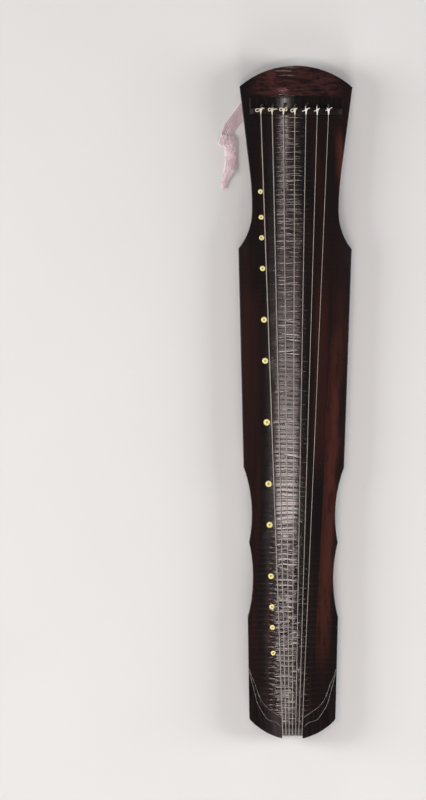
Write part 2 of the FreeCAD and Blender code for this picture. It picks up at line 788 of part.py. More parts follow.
def goose_foot(name, side):
    """A turned foot with a flared end, and the square tenon that holds it in the boards."""
    body = doc.addObject("PartDesign::Body", f"foot_{name}")
    flare, neck, top = size("goose_foot_radius"), size("goose_foot_neck_radius"), size("foot_height")
    edge, rim_top, neck_start = FOOT_EDGE, FOOT_EDGE + FOOT_RIM, FOOT_NECK_START
    turn = edge*(1 - math.sqrt(0.5))
    profile = [
        Part.LineSegment(point(0, 0), point(flare - edge, 0)),
        Part.Arc(point(flare - edge, 0), point(flare - turn, turn), point(flare, edge)),
        Part.LineSegment(point(flare, edge), point(flare, rim_top)),
        Part.Arc(point(flare, rim_top), point(neck + (flare - neck)/4, (rim_top + neck_start)/2 - 0.7),
                 point(neck, neck_start)),
        Part.LineSegment(point(neck, neck_start), point(neck, top)),
        Part.LineSegment(point(neck, top), point(0, top)),
        Part.LineSegment(point(0, top), point(0, 0)),
    ]
    revolution(body, f"foot_turned_{name}", new_sketch(body, f"foot_profile_{name}", "XZ_Plane", profile))
    half = size("tenon_width")/2
    outline_lines = rectangle(-half, -half, half, half)
    tenon = new_sketch(body, f"tenon_sketch_{name}", "XY_Plane", outline_lines, "foot_height")
    pad(body, f"tenon_{name}", tenon, "tenon_height")
    sign = "" if side > 0 else "0 - "
    bind(body, {"Placement.Base.x": "goose_foot_from_tail - full_length / 2",
                "Placement.Base.y": f"{sign}goose_foot_offset"})
    return sub_part(body, f"goose_foot_{name}")


for name, side in SIDES:
    goose_foot(name, side)


# The tuning pegs

PEG_TOP = UNDERSIDE + size("pool_depth") - size("peg_clearance")
PEG_LOW = PEG_TOP - size("peg_length")
PEG_EDGE, PEG_HEAD_HEIGHT, PEG_NECK_START, PEG_SHOULDER, PEG_COLLAR = 2, 7.5, 12, 12, 3
FLUTES = 8
WINDING_TOP = UNDERSIDE + 1.6


def tuning_peg(number):
    """A turned peg: a collar under the boards, a waist for its cord and a fluted head."""
    body = doc.addObject("PartDesign::Body", f"peg_body_{number}")
    head, collar, neck = size("peg_head_radius"), size("peg_collar_radius"), size("peg_neck_radius")
    edge_start = point(head - PEG_EDGE, PEG_LOW)
    edge_end = point(head, PEG_LOW + PEG_EDGE)
    edge_middle = point(head - PEG_EDGE*(1 - math.sqrt(0.5)), PEG_LOW + PEG_EDGE*(1 - math.sqrt(0.5)))
    head_top = point(head, PEG_LOW + PEG_HEAD_HEIGHT)
    neck_start = point(neck, PEG_LOW + PEG_NECK_START)
    hollow = point(neck + (head - neck)/4, PEG_LOW + (PEG_HEAD_HEIGHT + PEG_NECK_START)/2 - 0.2)
    shoulder, collar_low = point(neck, PEG_TOP - PEG_SHOULDER), point(collar, PEG_TOP - PEG_COLLAR)
    collar_top, top, low = point(collar, PEG_TOP), point(0, PEG_TOP), point(0, PEG_LOW)
    profile = [
        Part.LineSegment(low, edge_start),
        Part.Arc(edge_start, edge_middle, edge_end),
        Part.LineSegment(edge_end, head_top),
        Part.Arc(head_top, hollow, neck_start),
        Part.LineSegment(neck_start, shoulder),
        Part.LineSegment(shoulder, collar_low),
        Part.LineSegment(collar_low, collar_top),
        Part.LineSegment(collar_top, top),
        Part.LineSegment(top, low),
    ]
    revolution(body, f"peg_turned_{number}", new_sketch(body, f"peg_profile_{number}", "XZ_Plane", profile))
    doc.recompute()
    flute_centre = head + size("peg_flute_radius") - size("peg_flute_depth")
    flute = new_sketch(body, f"flute_sketch_{number}", "XY_Plane",
                       [circle(flute_centre, 0, size("peg_flute_radius"))])
    flute.AttachmentOffset = FreeCAD.Placement(point(0, 0, PEG_LOW), FreeCAD.Rotation())
    cutter = body.newObject("PartDesign::Pocket", f"flute_{number}")
    cutter.Profile = flute
    cutter.Reversed = True
    cutter.Length = PEG_NECK_START
    pattern = body.newObject("PartDesign::PolarPattern", f"flutes_{number}")
    pattern.Originals = [cutter]
    pattern.Axis = (origin_plane(body, "Z_Axis"), [""])
    pattern.Angle = 360
    pattern.Occurrences = FLUTES
    body.Tip = pattern
    bore = new_sketch(body, f"bore_sketch_{number}", "XY_Plane", [circle(0, 0, size("peg_bore_radius"))])
    bore_floor = WINDING_TOP - 1.5*size("peg_side_hole_radius")
    bore.AttachmentOffset = FreeCAD.Placement(point(0, 0, bore_floor), FreeCAD.Rotation())
    drilled = body.newObject("PartDesign::Pocket", f"bore_{number}")
    drilled.Profile = bore
    drilled.Reversed = True
    drilled.Length = PEG_TOP - bore_floor
    side_hole = new_sketch(body, f"side_hole_sketch_{number}", "YZ_Plane",
                           [circle(0, WINDING_TOP, size("peg_side_hole_radius"))])
    opened = body.newObject("PartDesign::Pocket", f"side_hole_{number}")
    opened.Profile = side_hole
    opened.Reversed = True
    opened.Length = 2*neck
    body.Tip = opened
    bind(body, {"Placement.Base.x": "full_length / 2 - peg_station",
                "Placement.Base.y": f"{4 - number} * peg_pitch"})
    return sub_part(body, f"tuning_peg_{number}")


for number in STRINGS:
    tuning_peg(number)


# Strings and cords: tubes along wires of straight runs and tangent arcs

def unit(vector):
    return FreeCAD.Vector(vector).normalize()


def tube(wire, diameter):
    """A round tube along a smooth wire, from the start of its first edge."""
    first = wire.OrderedEdges[0]
    start = wire.OrderedVertexes[0].Point
    parameter = first.getParameterByLength(0)
    direction = first.tangentAt(parameter)
    if (first.valueAt(parameter) - start).Length > 1e-6:
        direction = -first.tangentAt(first.LastParameter)
    section = Part.Wire([Part.makeCircle(diameter/2, start, direction)])
    return wire.makePipeShell([section], True, False)


def rounded_route(points):
    """Straight runs between the points, with each corner rounded as far as its two runs allow."""
    edges, radii = [], []
    here = points[0]
    for before, corner, after in zip(points, points[1:], points[2:]):
        run_in, run_out = corner - before, after - corner
        shorter = min(run_in.Length, run_out.Length)
        direction_in, direction_out = unit(run_in), unit(run_out)
        turn = direction_in.getAngle(direction_out)
        reach = 0.45*shorter
        radii.append(reach/math.tan(turn/2))
        start, end = corner - direction_in*reach, corner + direction_out*reach
        edges += [line(here, start), tangent_arc(start, direction_in, end)]
        here = end
    edges.append(line(here, points[-1]))
    return Part.Wire(edges), radii


def sampled(wire, spacing):
    count = max(int(wire.Length/spacing), 8)
    return wire.discretize(count)


def least_self_gap(wire, diameter):
    """The least distance between stretches of a wound tube that are over a few diameters apart along it."""
    spots = sampled(wire, diameter/3)
    step = wire.Length/(len(spots) - 1)
    apart = int(5*diameter/step)
    gaps = [(a - b).Length for i, a in enumerate(spots) for b in spots[i + apart:]
            if (a - b).Length < 4*diameter]
    return min(gaps) - diameter if gaps else None


def report_tube(name, wire, solid, diameter, radii=()):
    expected = math.pi*diameter**2/4*wire.Length
    least = f", least radius {min(radii):.1f}" if radii else ""
    print(f"{name}: length {wire.Length:.1f}, volume ratio {solid.Volume/expected:.4f}{least}")


def string_at_bridge(number):
    """How far a string is to the left of the middle line where it crosses the bridge."""
    return (4 - number)*size("string_pitch_at_bridge") + size("string_shift_at_bridge")


def helix_stations(centre, radius, start_angle, turns, turning, high, pitch):
    """Points and directions at each quarter turn of a winding that goes down from its first height."""
    count = int(round(turns*4))
    stations = []
    slope = pitch/(2*math.pi*radius)
    for step in range(count + 1):
        angle = start_angle + turning*step*math.pi/2
        spot = centre + point(radius*math.cos(angle), radius*math.sin(angle), high - pitch*step/4)
        direction = unit(point(-turning*math.sin(angle), turning*math.cos(angle), -slope))
        stations.append((spot, direction))
    return stations


def smooth_wire(stations):
    """A wire of biarcs through points with directions."""
    edges = []
    for (start, start_direction), (end, end_direction) in zip(stations, stations[1:]):
        edges += biarc(start, start_direction, end, end_direction)
    return edges


def string_wire(number):
    """A string from its knot over both nuts and along the underside to its foot, round that and off it."""
    diameter = STRING_DIAMETERS[number - 1]
    radius = diameter/2
    lift = size("string_clearance") + radius
    left = number <= 4
    turning = 1 if left else -1
    at_bridge = string_at_bridge(number)
    at_nut = (4 - number)*size("string_pitch_at_nut")
    knot_x = along(size("bridge_station") - KNOT_FROM_FACE)
    crest_x = along(size("bridge_station")) + BRIDGE_ROUNDING
    over_bridge = point(crest_x, at_bridge, bridge_crest(at_bridge) + lift)
    nut_end = from_tail(size("nut_recess"))
    edge_radius = size("nut_edge_radius")
    over_nut = point(nut_end + edge_radius, at_nut, NUT_CREST + lift)
    course = unit(over_nut - over_bridge)
    start = over_bridge - course*((knot_x - crest_x)/abs(course.x))
    down_high = point(nut_end - lift, at_nut, NUT_CREST - edge_radius)
    low = UNDERSIDE - size("lower_nut_proud")
    down_low = point(nut_end - lift, at_nut, low + edge_radius)
    under_nut = point(nut_end + edge_radius, at_nut, low - lift)
    centre = point(GOOSE_FOOT_X, turning*size("goose_foot_offset"))
    winding_radius = size("goose_foot_neck_radius") + lift
    before = [STRING_DIAMETERS[i] for i in range(7) if (i < 4) == left and i < number - 1]
    turns_before = [STRING_TURNS[i] for i in range(7) if (i < 4) == left and i < number - 1]
    used = sum(d + t*(d + size("winding_gap")) + 0.3 for d, t in zip(before, turns_before))
    high = UNDERSIDE - 0.3 - radius - used
    away = under_nut - centre
    distance = math.hypot(away.x, away.y)
    start_angle = math.atan2(away.y, away.x) + turning*math.acos(winding_radius/distance)
    pitch = diameter + size("winding_gap")
    turns = STRING_TURNS[number - 1]
    stations = helix_stations(centre, winding_radius, start_angle, turns, turning, high, pitch)
    course_to_foot = unit(stations[0][0] - under_nut)
    stations[0] = (stations[0][0], course_to_foot)
    reach, aside = LOOSE_ENDS[number - 1]
    last_spot, last_direction = stations[-1]
    turn = math.radians(turning*aside)
    flat = unit(point(last_direction.x, last_direction.y))
    chord = point(flat.x*math.cos(-turn/2) - flat.y*math.sin(-turn/2),
                  flat.x*math.sin(-turn/2) + flat.y*math.cos(-turn/2))
    end_direction = point(flat.x*math.cos(-turn) - flat.y*math.sin(-turn),
                          flat.x*math.sin(-turn) + flat.y*math.cos(-turn))
    end = last_spot + chord*reach + point(0, 0, last_direction.z*reach/2)
    edges = [line(start, over_nut), *biarc(over_nut, course, down_high, point(0, 0, -1)),
             line(down_high, down_low), *biarc(down_low, point(0, 0, -1), under_nut, course_to_foot),
             line(under_nut, stations[0][0]), *smooth_wire(stations),
             *biarc(last_spot, last_direction, end, end_direction)]
    return Part.Wire(edges)


KNOT_FROM_FACE = 5.5
for number in STRINGS:
    diameter = STRING_DIAMETERS[number - 1]
    wire = string_wire(number)
    string = tube(wire, diameter)
    report_tube(f"string_{number}", wire, string, diameter)
    print(f"string_{number}: least gap to itself {least_self_gap(wire, diameter):.2f}")
    sub_part(plain_feature(f"string_solid_{number}", string), f"string_{number}")


# The knots, and the cords that hold them

KNOT_HALF_LENGTH, KNOT_HALF_WIDTH, KNOT_HALF_HEIGHT = 3.4, 2.9, 1.7
KNOT_REACH = KNOT_HALF_LENGTH - 0.9


def knot_centre(number):
    offset = string_at_bridge(number)
    x = along(size("bridge_station") - KNOT_FROM_FACE) + KNOT_REACH
    return point(x, offset, bridge_crest(offset) + KNOT_HALF_HEIGHT + 0.1)


def knot(number):
    """A flattened round knot with a flat face at each end, where the string and the cord meet it."""
    cut_at = math.degrees(math.asin(KNOT_REACH/KNOT_HALF_LENGTH))
    ball = Part.makeSphere(1, point(0, 0), point(1, 0), -cut_at, cut_at, 360)
    stretch = FreeCAD.Matrix()
    stretch.scale(KNOT_HALF_LENGTH, KNOT_HALF_WIDTH, KNOT_HALF_HEIGHT)
    body = ball.transformGeometry(stretch)
    body.translate(knot_centre(number))
    return body


knot_group = plain_feature("knot_group", Part.makeCompound([knot(number) for number in STRINGS]))
sub_part(knot_group, "string_knots")


def standing_cord_route(number):
    """From the knot over the bridge's head edge, down through the eye and into the peg."""
    centre = knot_centre(number)
    offset = peg_offset(number)
    x = centre.x + KNOT_REACH
    strip_top = surface(size("peg_station"), offset)
    return [
        point(x, centre.y, centre.z),
        point(x + 4.6, centre.y, centre.z),
        point(PEG_X, offset, strip_top + 6.5),
        point(PEG_X, offset, WINDING_TOP - 1.5),
    ]


for number in STRINGS:
    wire, radii = rounded_route(standing_cord_route(number))
    cord = tube(wire, size("cord_diameter"))
    report_tube(f"peg_cord_{number}", wire, cord, size("cord_diameter"), radii)
    sub_part(plain_feature(f"peg_cord_solid_{number}", cord), f"peg_cord_{number}")


def winding_wire(number):
    """The cord's winding on its peg: out of the side hole, round the waist and off in a straight end."""
    centre = point(PEG_X, peg_offset(number))
    diameter = size("cord_diameter")
    radius = size("peg_neck_radius") + diameter/2 + 0.15
    turns = helix_stations(centre, radius, math.pi/4, size("winding_turns"), 1, WINDING_TOP - 0.4,
                           size("winding_pitch"))
    inner = centre + point(1.9, 0, WINDING_TOP)
    outer = centre + point(3.9, 0, WINDING_TOP)
    edges = [line(inner, outer), *biarc(outer, point(1, 0), *turns[0]), *smooth_wire(turns)]
    spot, direction = turns[-1]
    edges.append(line(spot, spot + direction*diameter))
    return Part.Wire(edges)


for number in STRINGS:
    wire = winding_wire(number)
    winding = tube(wire, size("cord_diameter"))
    report_tube(f"peg_winding_{number}", wire, winding, size("cord_diameter"))
    print(f"peg_winding_{number}: least gap to itself {least_self_gap(wire, size('cord_diameter')):.2f}")
    sub_part(plain_feature(f"winding_solid_{number}", winding), f"peg_winding_{number}")


# The free cords lie side by side on the resting surface, between the pegs and the left guard

FLOOR_LEVEL = size("cord_diameter")/2 + 0.15
FREE_CORD_HEIGHT = WINDING_TOP - size("winding_turns")*size("winding_pitch") - size("cord_diameter") - 0.8


LANE_START, LANDING, LANE_SWAY, FIRST_DROP = 20, 14.5, 0.5, 0.8


def free_cord_start(number):
    """Off the peg's waist, down to the surface and, but for the first two, along a lane of its own."""
    offset = peg_offset(number)
    waist = size("peg_neck_radius") + size("cord_diameter")/2 + 0.4
    high, low = FREE_CORD_HEIGHT, FLOOR_LEVEL
    if number == 1:
        x = PEG_X + waist
        return [point(x, offset - 3, high), point(x, offset + 5.5, high - FIRST_DROP),
                point(x - 1.5, offset + 13.5, low + 4.5), point(x - 7.7, offset + 21.4, low)]
    lane = PEG_X + LANE_START + (number - 1)*size("lane_pitch")
    if number == 2:
        lane -= size("lane_pitch")
    points = [point(PEG_X - 3, offset + waist, high), point(PEG_X + 9, offset + waist, high - FIRST_DROP),
              point(lane - 3, offset + waist + 2, low + 1.5)]
    for passed in range(number, min(number, 3) - 1, -1):
        landing = peg_offset(passed) + waist + LANDING
        points.append(point(lane + LANE_SWAY*math.sin(landing/11), landing, low))
    return points


def free_cord_route(number):
    """From the peg, under the left guard's slope beside the other cords, and straight into the tassel."""
    points = free_cord_start(number)
    aside = (number - 4)*size("lane_pitch")
    stops = [point(along(station), offset, FLOOR_LEVEL) for station, offset in RIBBON]
    directions = [point(0, 1)] + [unit(b - a) for a, b in zip(stops, stops[1:])] + [point(-1, 0)]
    for index in range(max(3 - number, 0), len(stops)):
        course = unit(unit(directions[index]) + unit(directions[index + 1]))
        normal = point(course.y, -course.x)
        points.append(stops[index] + normal*(aside + RIBBON_WANDER[number - 1][index]))
    points.append(point(along(TASSEL_SECTIONS[0][0]), points[-1].y, FLOOR_LEVEL))
    return points


for number in STRINGS:
    route = free_cord_route(number)
    wire, radii = rounded_route(route)
    cord = tube(wire, size("cord_diameter"))
    report_tube(f"tassel_cord_{number}", wire, cord, size("cord_diameter"), radii)
    sub_part(plain_feature(f"tassel_cord_solid_{number}", cord), f"tassel_cord_{number}")


def tassel():
    """The frayed ends as one soft lump that lies flat on the resting surface and narrows to its tip."""
    sections = []
    for station, offset, half_width, height in TASSEL_SECTIONS:
        x = along(station)
        left, right = point(x, offset + half_width, 0.2), point(x, offset - half_width, 0.2)
        crown = arc(left, point(x, offset, height), right)
        sections.append(Part.Wire([crown, line(right, left)]))
    return Part.makeLoft(sections, True, False)


sub_part(plain_feature("tassel_solid", tassel()), "tassel")

doc.recompute()
for feature in doc.Objects:
    if "Invalid" in feature.State or "Error" in feature.State:
        raise RuntimeError(f"{feature.Name} failed: {feature.State}")
for feature in nodes:
    if feature.Shape.isNull() or not feature.Shape.isValid() or not feature.Shape.Solids:
        raise RuntimeError(f"{feature.Label} has no valid solid")

os.makedirs("parts", exist_ok=True)
for feature in nodes:
    feature.Shape.exportStep(f"parts/{feature.Label}.step")
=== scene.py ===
import math
import random
import bpy
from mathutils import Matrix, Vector, noise


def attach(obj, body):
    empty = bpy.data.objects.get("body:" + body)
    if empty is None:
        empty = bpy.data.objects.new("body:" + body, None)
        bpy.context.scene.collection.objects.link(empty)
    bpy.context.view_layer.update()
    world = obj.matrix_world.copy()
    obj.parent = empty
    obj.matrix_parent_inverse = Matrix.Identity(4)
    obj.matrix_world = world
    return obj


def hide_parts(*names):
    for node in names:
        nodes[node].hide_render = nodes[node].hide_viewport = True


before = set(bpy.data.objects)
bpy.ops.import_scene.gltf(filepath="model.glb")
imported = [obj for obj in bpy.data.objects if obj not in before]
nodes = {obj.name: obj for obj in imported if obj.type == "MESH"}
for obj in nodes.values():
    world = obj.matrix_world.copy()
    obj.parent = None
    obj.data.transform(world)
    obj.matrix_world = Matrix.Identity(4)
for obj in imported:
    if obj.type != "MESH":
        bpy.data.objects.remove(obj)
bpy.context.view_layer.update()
NUMBERS = range(1, 8)

# The object lies along X with its head at +X, its studs on the +Y side and its strings up.
# Lengths are in metres, apart from those that are multiplied by MM where they are used.
# A station is a distance in millimetres from the head's tip.
MM = 0.001
HALF_LENGTH = 0.605
UNDERSIDE = 0.026
ARCH_RADIUS = 0.327
ARCH_FIRST, ARCH_LAST = 60, 1220
HEAD_RISE, MIDDLE_RISE, TAIL_RISE = 44, 43, 35.7
TIP_DROP = 16
BRIDGE_STATION = 89
BRIDGE_HEIGHT = 17
BRIDGE_RADIUS = 0.520
STRING_LENGTH = 1106
STRING_PITCH = 20.25
PEG_X = 0.535
PEG_PITCH = 19.0
CORD_DIAMETER = 0.0026
BACKDROP = (0.72, 0.71, 0.70)


def sag(radius, y):
    """How far an arc of this radius has dropped at a distance y from its middle."""
    return radius - math.sqrt(radius**2 - y**2)


def ridge(station):
    """The height of the boards' middle line at a station."""
    way = (max(station, ARCH_FIRST) - ARCH_FIRST)/((ARCH_LAST - ARCH_FIRST)/2)
    slope = (-3*HEAD_RISE + 4*MIDDLE_RISE - TAIL_RISE)/2
    bend = (HEAD_RISE - 2*MIDDLE_RISE + TAIL_RISE)/2
    drop = TIP_DROP*(max(ARCH_FIRST - station, 0)/ARCH_FIRST)**2
    return UNDERSIDE + (HEAD_RISE + way*slope + way**2*bend - drop)*MM


def surface(x, y):
    """The height of the boards' upper surface."""
    return ridge((HALF_LENGTH - x)/MM) - sag(ARCH_RADIUS, y)


# Camera and lamps

CAMERA_PLACE = (0.0026, 0.1461, 10.05)
CAMERA_ROLL = 0.0057


def camera():
    """A long lens straight above the strings, rolled by the photograph's tilt."""
    data = bpy.data.cameras.new("camera")
    data.lens = 250
    data.clip_end = 40
    made = bpy.data.objects.new("camera", data)
    made.location = CAMERA_PLACE
    made.rotation_euler = (0, 0, CAMERA_ROLL - math.pi/2)
    bpy.context.collection.objects.link(made)
    bpy.context.scene.camera = made


def area_lamp(name, place, target, size, power, colour=(1, 1, 1)):
    """A rectangular lamp that faces its target and that the camera doesn't see."""
    data = bpy.data.lights.new(name, "AREA")
    data.shape = "RECTANGLE"
    data.size, data.size_y = size
    data.energy = power
    data.color = colour
    made = bpy.data.objects.new(name, data)
    made.location = place
    made.rotation_euler = (Vector(target) - Vector(place)).to_track_quat("-Z", "Y").to_euler()
    made.visible_camera = False
    bpy.context.collection.objects.link(made)


camera()


# Node materials

class Nodes:
    """A short way to write node trees: each call adds a node and gives back its first output."""

    def __init__(self, name):
        self.material = bpy.data.materials.new(name)
        self.material.use_nodes = True
        self.tree = self.material.node_tree
        self.tree.nodes.clear()
        self.place = self.add("ShaderNodeTexCoord").outputs["Object"]

    def add(self, kind, **inputs):
        node = self.tree.nodes.new(kind)
        for key, value in inputs.items():
            self.put(node, key, value)
        return node

    def put(self, node, key, value):
        """Gives an input its value. A key such as i0 stands for the input's number."""
        numbered = key[0] == "i" and key[1:].isdigit()
        self.feed(node.inputs[int(key[1:]) if numbered else key], value)

    def feed(self, socket, value):
        """Links a socket to an output or sets its value, a colour as three numbers."""
        if isinstance(value, bpy.types.NodeSocket):
            self.tree.links.new(value, socket)
        else:
            socket.default_value = (*value, 1) if socket.type == "RGBA" else value

    def scaled(self, scale):
        return self.add("ShaderNodeMapping", Vector=self.place, Scale=scale).outputs[0]

    def noise(self, scale, detail=4, rough=0.55, vector=None, distort=0):
        node = self.add("ShaderNodeTexNoise", Vector=vector or self.place, Scale=scale, Detail=detail,
                        Roughness=rough, Distortion=distort)
        return node.outputs["Fac"]

    def cells(self, scale, vector, randomness=1.0):
        """Distance to the nearest edge between cells."""
        node = self.add("ShaderNodeTexVoronoi", Vector=vector, Scale=scale, Randomness=randomness)
        node.feature = "DISTANCE_TO_EDGE"
        return node.outputs["Distance"]

    def math(self, operation, a, b=0.0, c=0.0):
        node = self.add("ShaderNodeMath", i0=a, i1=b, i2=c)
        node.operation = operation
        return node.outputs[0]

    def times(self, product, *factors):
        for factor in factors:
            product = self.math("MULTIPLY", product, factor)
        return product

    def times_plus(self, a, b, c):
        """a*b + c."""
        return self.math("MULTIPLY_ADD", a, b, c)

    def minus(self, a, b):
        return self.math("SUBTRACT", a, b)

    def length(self, vector):
        node = self.add("ShaderNodeVectorMath", i0=vector)
        node.operation = "LENGTH"
        return node.outputs["Value"]

    def ramp(self, value, low, high, start=0.0, end=1.0):
        """value, from low to high, smoothly turned into start to end."""
        node = self.add("ShaderNodeMapRange", **{"Value": value, "From Min": low, "From Max": high,
                                                 "To Min": start, "To Max": end})
        node.interpolation_type = "SMOOTHSTEP"
        return node.outputs[0]

    def mixed(self, data_type, socket_type, factor, a, b):
        node = self.add("ShaderNodeMix")
        node.data_type = data_type
        ends = [s for s in node.inputs if s.name in "AB" and s.type == socket_type]
        for socket, value in zip(ends, (a, b)):
            self.feed(socket, value)
        self.put(node, "Factor", factor)
        return next(s for s in node.outputs if s.type == socket_type)

    def mix(self, factor, a, b):
        """A colour between two."""
        return self.mixed("RGBA", "RGBA", factor, a, b)

    def blend(self, factor, a, b):
        """A number between two."""
        return self.mixed("FLOAT", "VALUE", factor, a, b)

    def axes(self, vector=None):
        return self.add("ShaderNodeSeparateXYZ", Vector=vector or self.place).outputs

    def bump(self, height, strength, distance, normal=None):
        node = self.add("ShaderNodeBump", Height=height, Strength=strength, Distance=distance)
        if normal:
            self.put(node, "Normal", normal)
        return node.outputs[0]

    def rounded(self, radius):
        """The surface's normal, softened at edges."""
        return self.add("ShaderNodeBevel", Radius=radius).outputs[0]

    def along(self):
        """The number that Shape gives to each vertex."""
        node = self.add("ShaderNodeAttribute")
        node.attribute_name = "along"
        return node.outputs["Fac"]

    def band(self, value, centre, half_width, soft):
        """1 within half_width of centre and 0 from soft beyond it."""
        away = self.math("ABSOLUTE", self.minus(value, centre))
        return self.ramp(away, half_width + soft, half_width)

    def finish(self, colour, roughness, normal=None, **settings):
        shader = self.add("ShaderNodeBsdfPrincipled")
        self.put(shader, "Base Color", colour)
        self.put(shader, "Roughness", roughness)
        if normal:
            self.put(shader, "Normal", normal)
        for key, value in settings.items():
            self.put(shader, key.replace("_", " "), value)
        self.add("ShaderNodeOutputMaterial", Surface=shader.outputs[0])
        return self.material


def rows(m, period, wander):
    """Distance, in periods, to the nearest of many lines that run across the board a period apart."""
    sway = m.noise(24, 3, vector=m.scaled((0.45, 1, 1)))
    x = m.axes()["X"]
    return m.math("PINGPONG", m.times_plus(sway, wander, m.math("DIVIDE", x, period)), 0.5)


def crackle(m, long_scale, across_scale, wander):
    """Distance to the nearest of many long cracks that run across the board, about 1/long_scale m apart."""
    sway = m.noise(16, 4, vector=m.scaled((0.6, 1.2, 1)))
    x, y, z = m.axes()
    moved = m.times_plus(m.minus(sway, 0.5), wander, x)
    joined = m.add("ShaderNodeCombineXYZ", X=m.times(moved, long_scale), Y=m.times(y, across_scale),
                   Z=m.times(z, across_scale))
    return m.cells(1.0, joined.outputs[0], randomness=0.7)


def worn_band(m, x, edge, fine):
    """The brick-red band on the side without studs, nearer to the edge toward the head."""
    away = m.minus(edge, m.times_plus(m.math("ADD", x, 0.05), -0.040, -0.067))
    return m.times(m.ramp(away, 0.0110, 0.0085), m.ramp(away, 0.0060, -0.0010, 0.65, 1.0),
                   m.ramp(away, -0.0190, -0.0060), m.ramp(x, -0.52, -0.30, 0.4, 1.0),
                   m.ramp(x, 0.26, -0.02), m.ramp(x, -0.52, -0.42), m.ramp(fine, 0.30, 0.58, 0.35, 1.0))


def forehead(m, x, y, colour):
    """Red-brown grain on the brow, with one small rubbed patch."""
    brow = m.times(m.ramp(x, 0.546, 0.556), m.ramp(m.math("ABSOLUTE", y), 0.095, 0.055))
    grain = m.noise(70, 6, rough=0.7, vector=m.scaled((2.6, 0.6, 1)))
    colour = m.mix(m.times(brow, m.ramp(grain, 0.36, 0.62)), colour, (0.052, 0.0165, 0.0155))
    patches = m.noise(26, 5)
    patched = m.times(brow, m.ramp(patches, 0.55, 0.72, 0.0, 0.8))
    colour = m.mix(patched, colour, (0.085, 0.024, 0.024))
    offset = m.add("ShaderNodeCombineXYZ", X=m.times(m.minus(x, 0.560), 2.6),
                   Y=m.minus(y, 0.025))
    mottle = m.noise(300, 5)
    away = m.times_plus(m.minus(mottle, 0.5), 0.022, m.length(offset.outputs[0]))
    rubbed = m.ramp(away, 0.0145, 0.006)
    colour = m.mix(m.times(rubbed, 0.75), colour, (0.17, 0.050, 0.055))
    flecks = m.ramp(m.noise(520, 3), 0.60, 0.68)
    return m.mix(m.times(rubbed, m.times(flecks, 0.7)), colour, (0.55, 0.47, 0.46))


def upper_wear(m, colour, broad, fine, streaks):
    """Red wear on the top board: on both sides of the strings, at the neck and on the forehead."""
    x, y, _ = m.axes()
    edge = m.times_plus(m.minus(m.noise(11, 4), 0.5), 0.014, y)
    beside = m.times(m.band(edge, -0.047, 0.006, 0.012), m.band(x, 0.05, 0.10, 0.12), 0.55)
    colour = m.mix(beside, colour, (0.040, 0.010, 0.007))
    colour = m.mix(worn_band(m, x, edge, fine), colour, (0.056, 0.0145, 0.0098))
    neck = m.times(m.band(edge, -0.079, 0.002, 0.009), m.band(x, 0.440, 0.018, 0.045))
    colour = m.mix(m.times(neck, m.ramp(streaks, 0.35, 0.6)), colour, (0.062, 0.018, 0.010))
    near_studs = m.times(m.band(edge, 0.080, 0.008, 0.016), m.band(x, -0.10, 0.30, 0.12),
                         m.ramp(broad, 0.40, 0.62), 0.5)
    colour = m.mix(near_studs, colour, (0.024, 0.0070, 0.0054))
    return forehead(m, x, y, colour)


def lower_wear(m, colour, fine):
    """A red patch near the tail of the bottom board, and long marks along it."""
    x, y, _ = m.axes()
    worn = m.times(m.band(x, -0.455, 0.020, 0.02), m.band(y, 0.0, 0.035, 0.03), m.ramp(fine, 0.35, 0.55))
    colour = m.mix(worn, colour, (0.085, 0.020, 0.014))
    long_marks = m.ramp(m.noise(30, 5, vector=m.scaled((0.12, 1.6, 1))), 0.55, 0.68)
    return m.mix(m.times(long_marks, 0.45), colour, (0.052, 0.020, 0.014))


# Openings in the bottom board: their middle in X, and how far they reach from it in X and Y
ROUND_HOLE = (0.086, 0.0462)
LONG_HOLE = (-0.383, 0.0595, 0.0189)
PEG_POOL = (0.538, 0.0152, 0.0742)
BOTTOM_BOARD_TOP = 0.0358


def hole_mask(m):
    """1 on the walls of the bottom board's openings and on its hidden upper face, and 0 elsewhere."""
    x, y, z = m.axes()
    middle, radius = ROUND_HOLE
    flat = m.add("ShaderNodeCombineXYZ", X=m.minus(x, middle), Y=y)
    mask = m.ramp(m.length(flat.outputs[0]), radius + 0.0004, radius)
    for (middle, long, wide), soft in ((LONG_HOLE, 0.0005), (PEG_POOL, 0.0003)):
        opening = m.times(m.band(x, middle, long, soft), m.band(y, 0, wide, soft))
        mask = m.math("MAXIMUM", mask, opening)
    return m.math("MAXIMUM", mask, m.ramp(z, BOTTOM_BOARD_TOP, BOTTOM_BOARD_TOP + 0.0001))


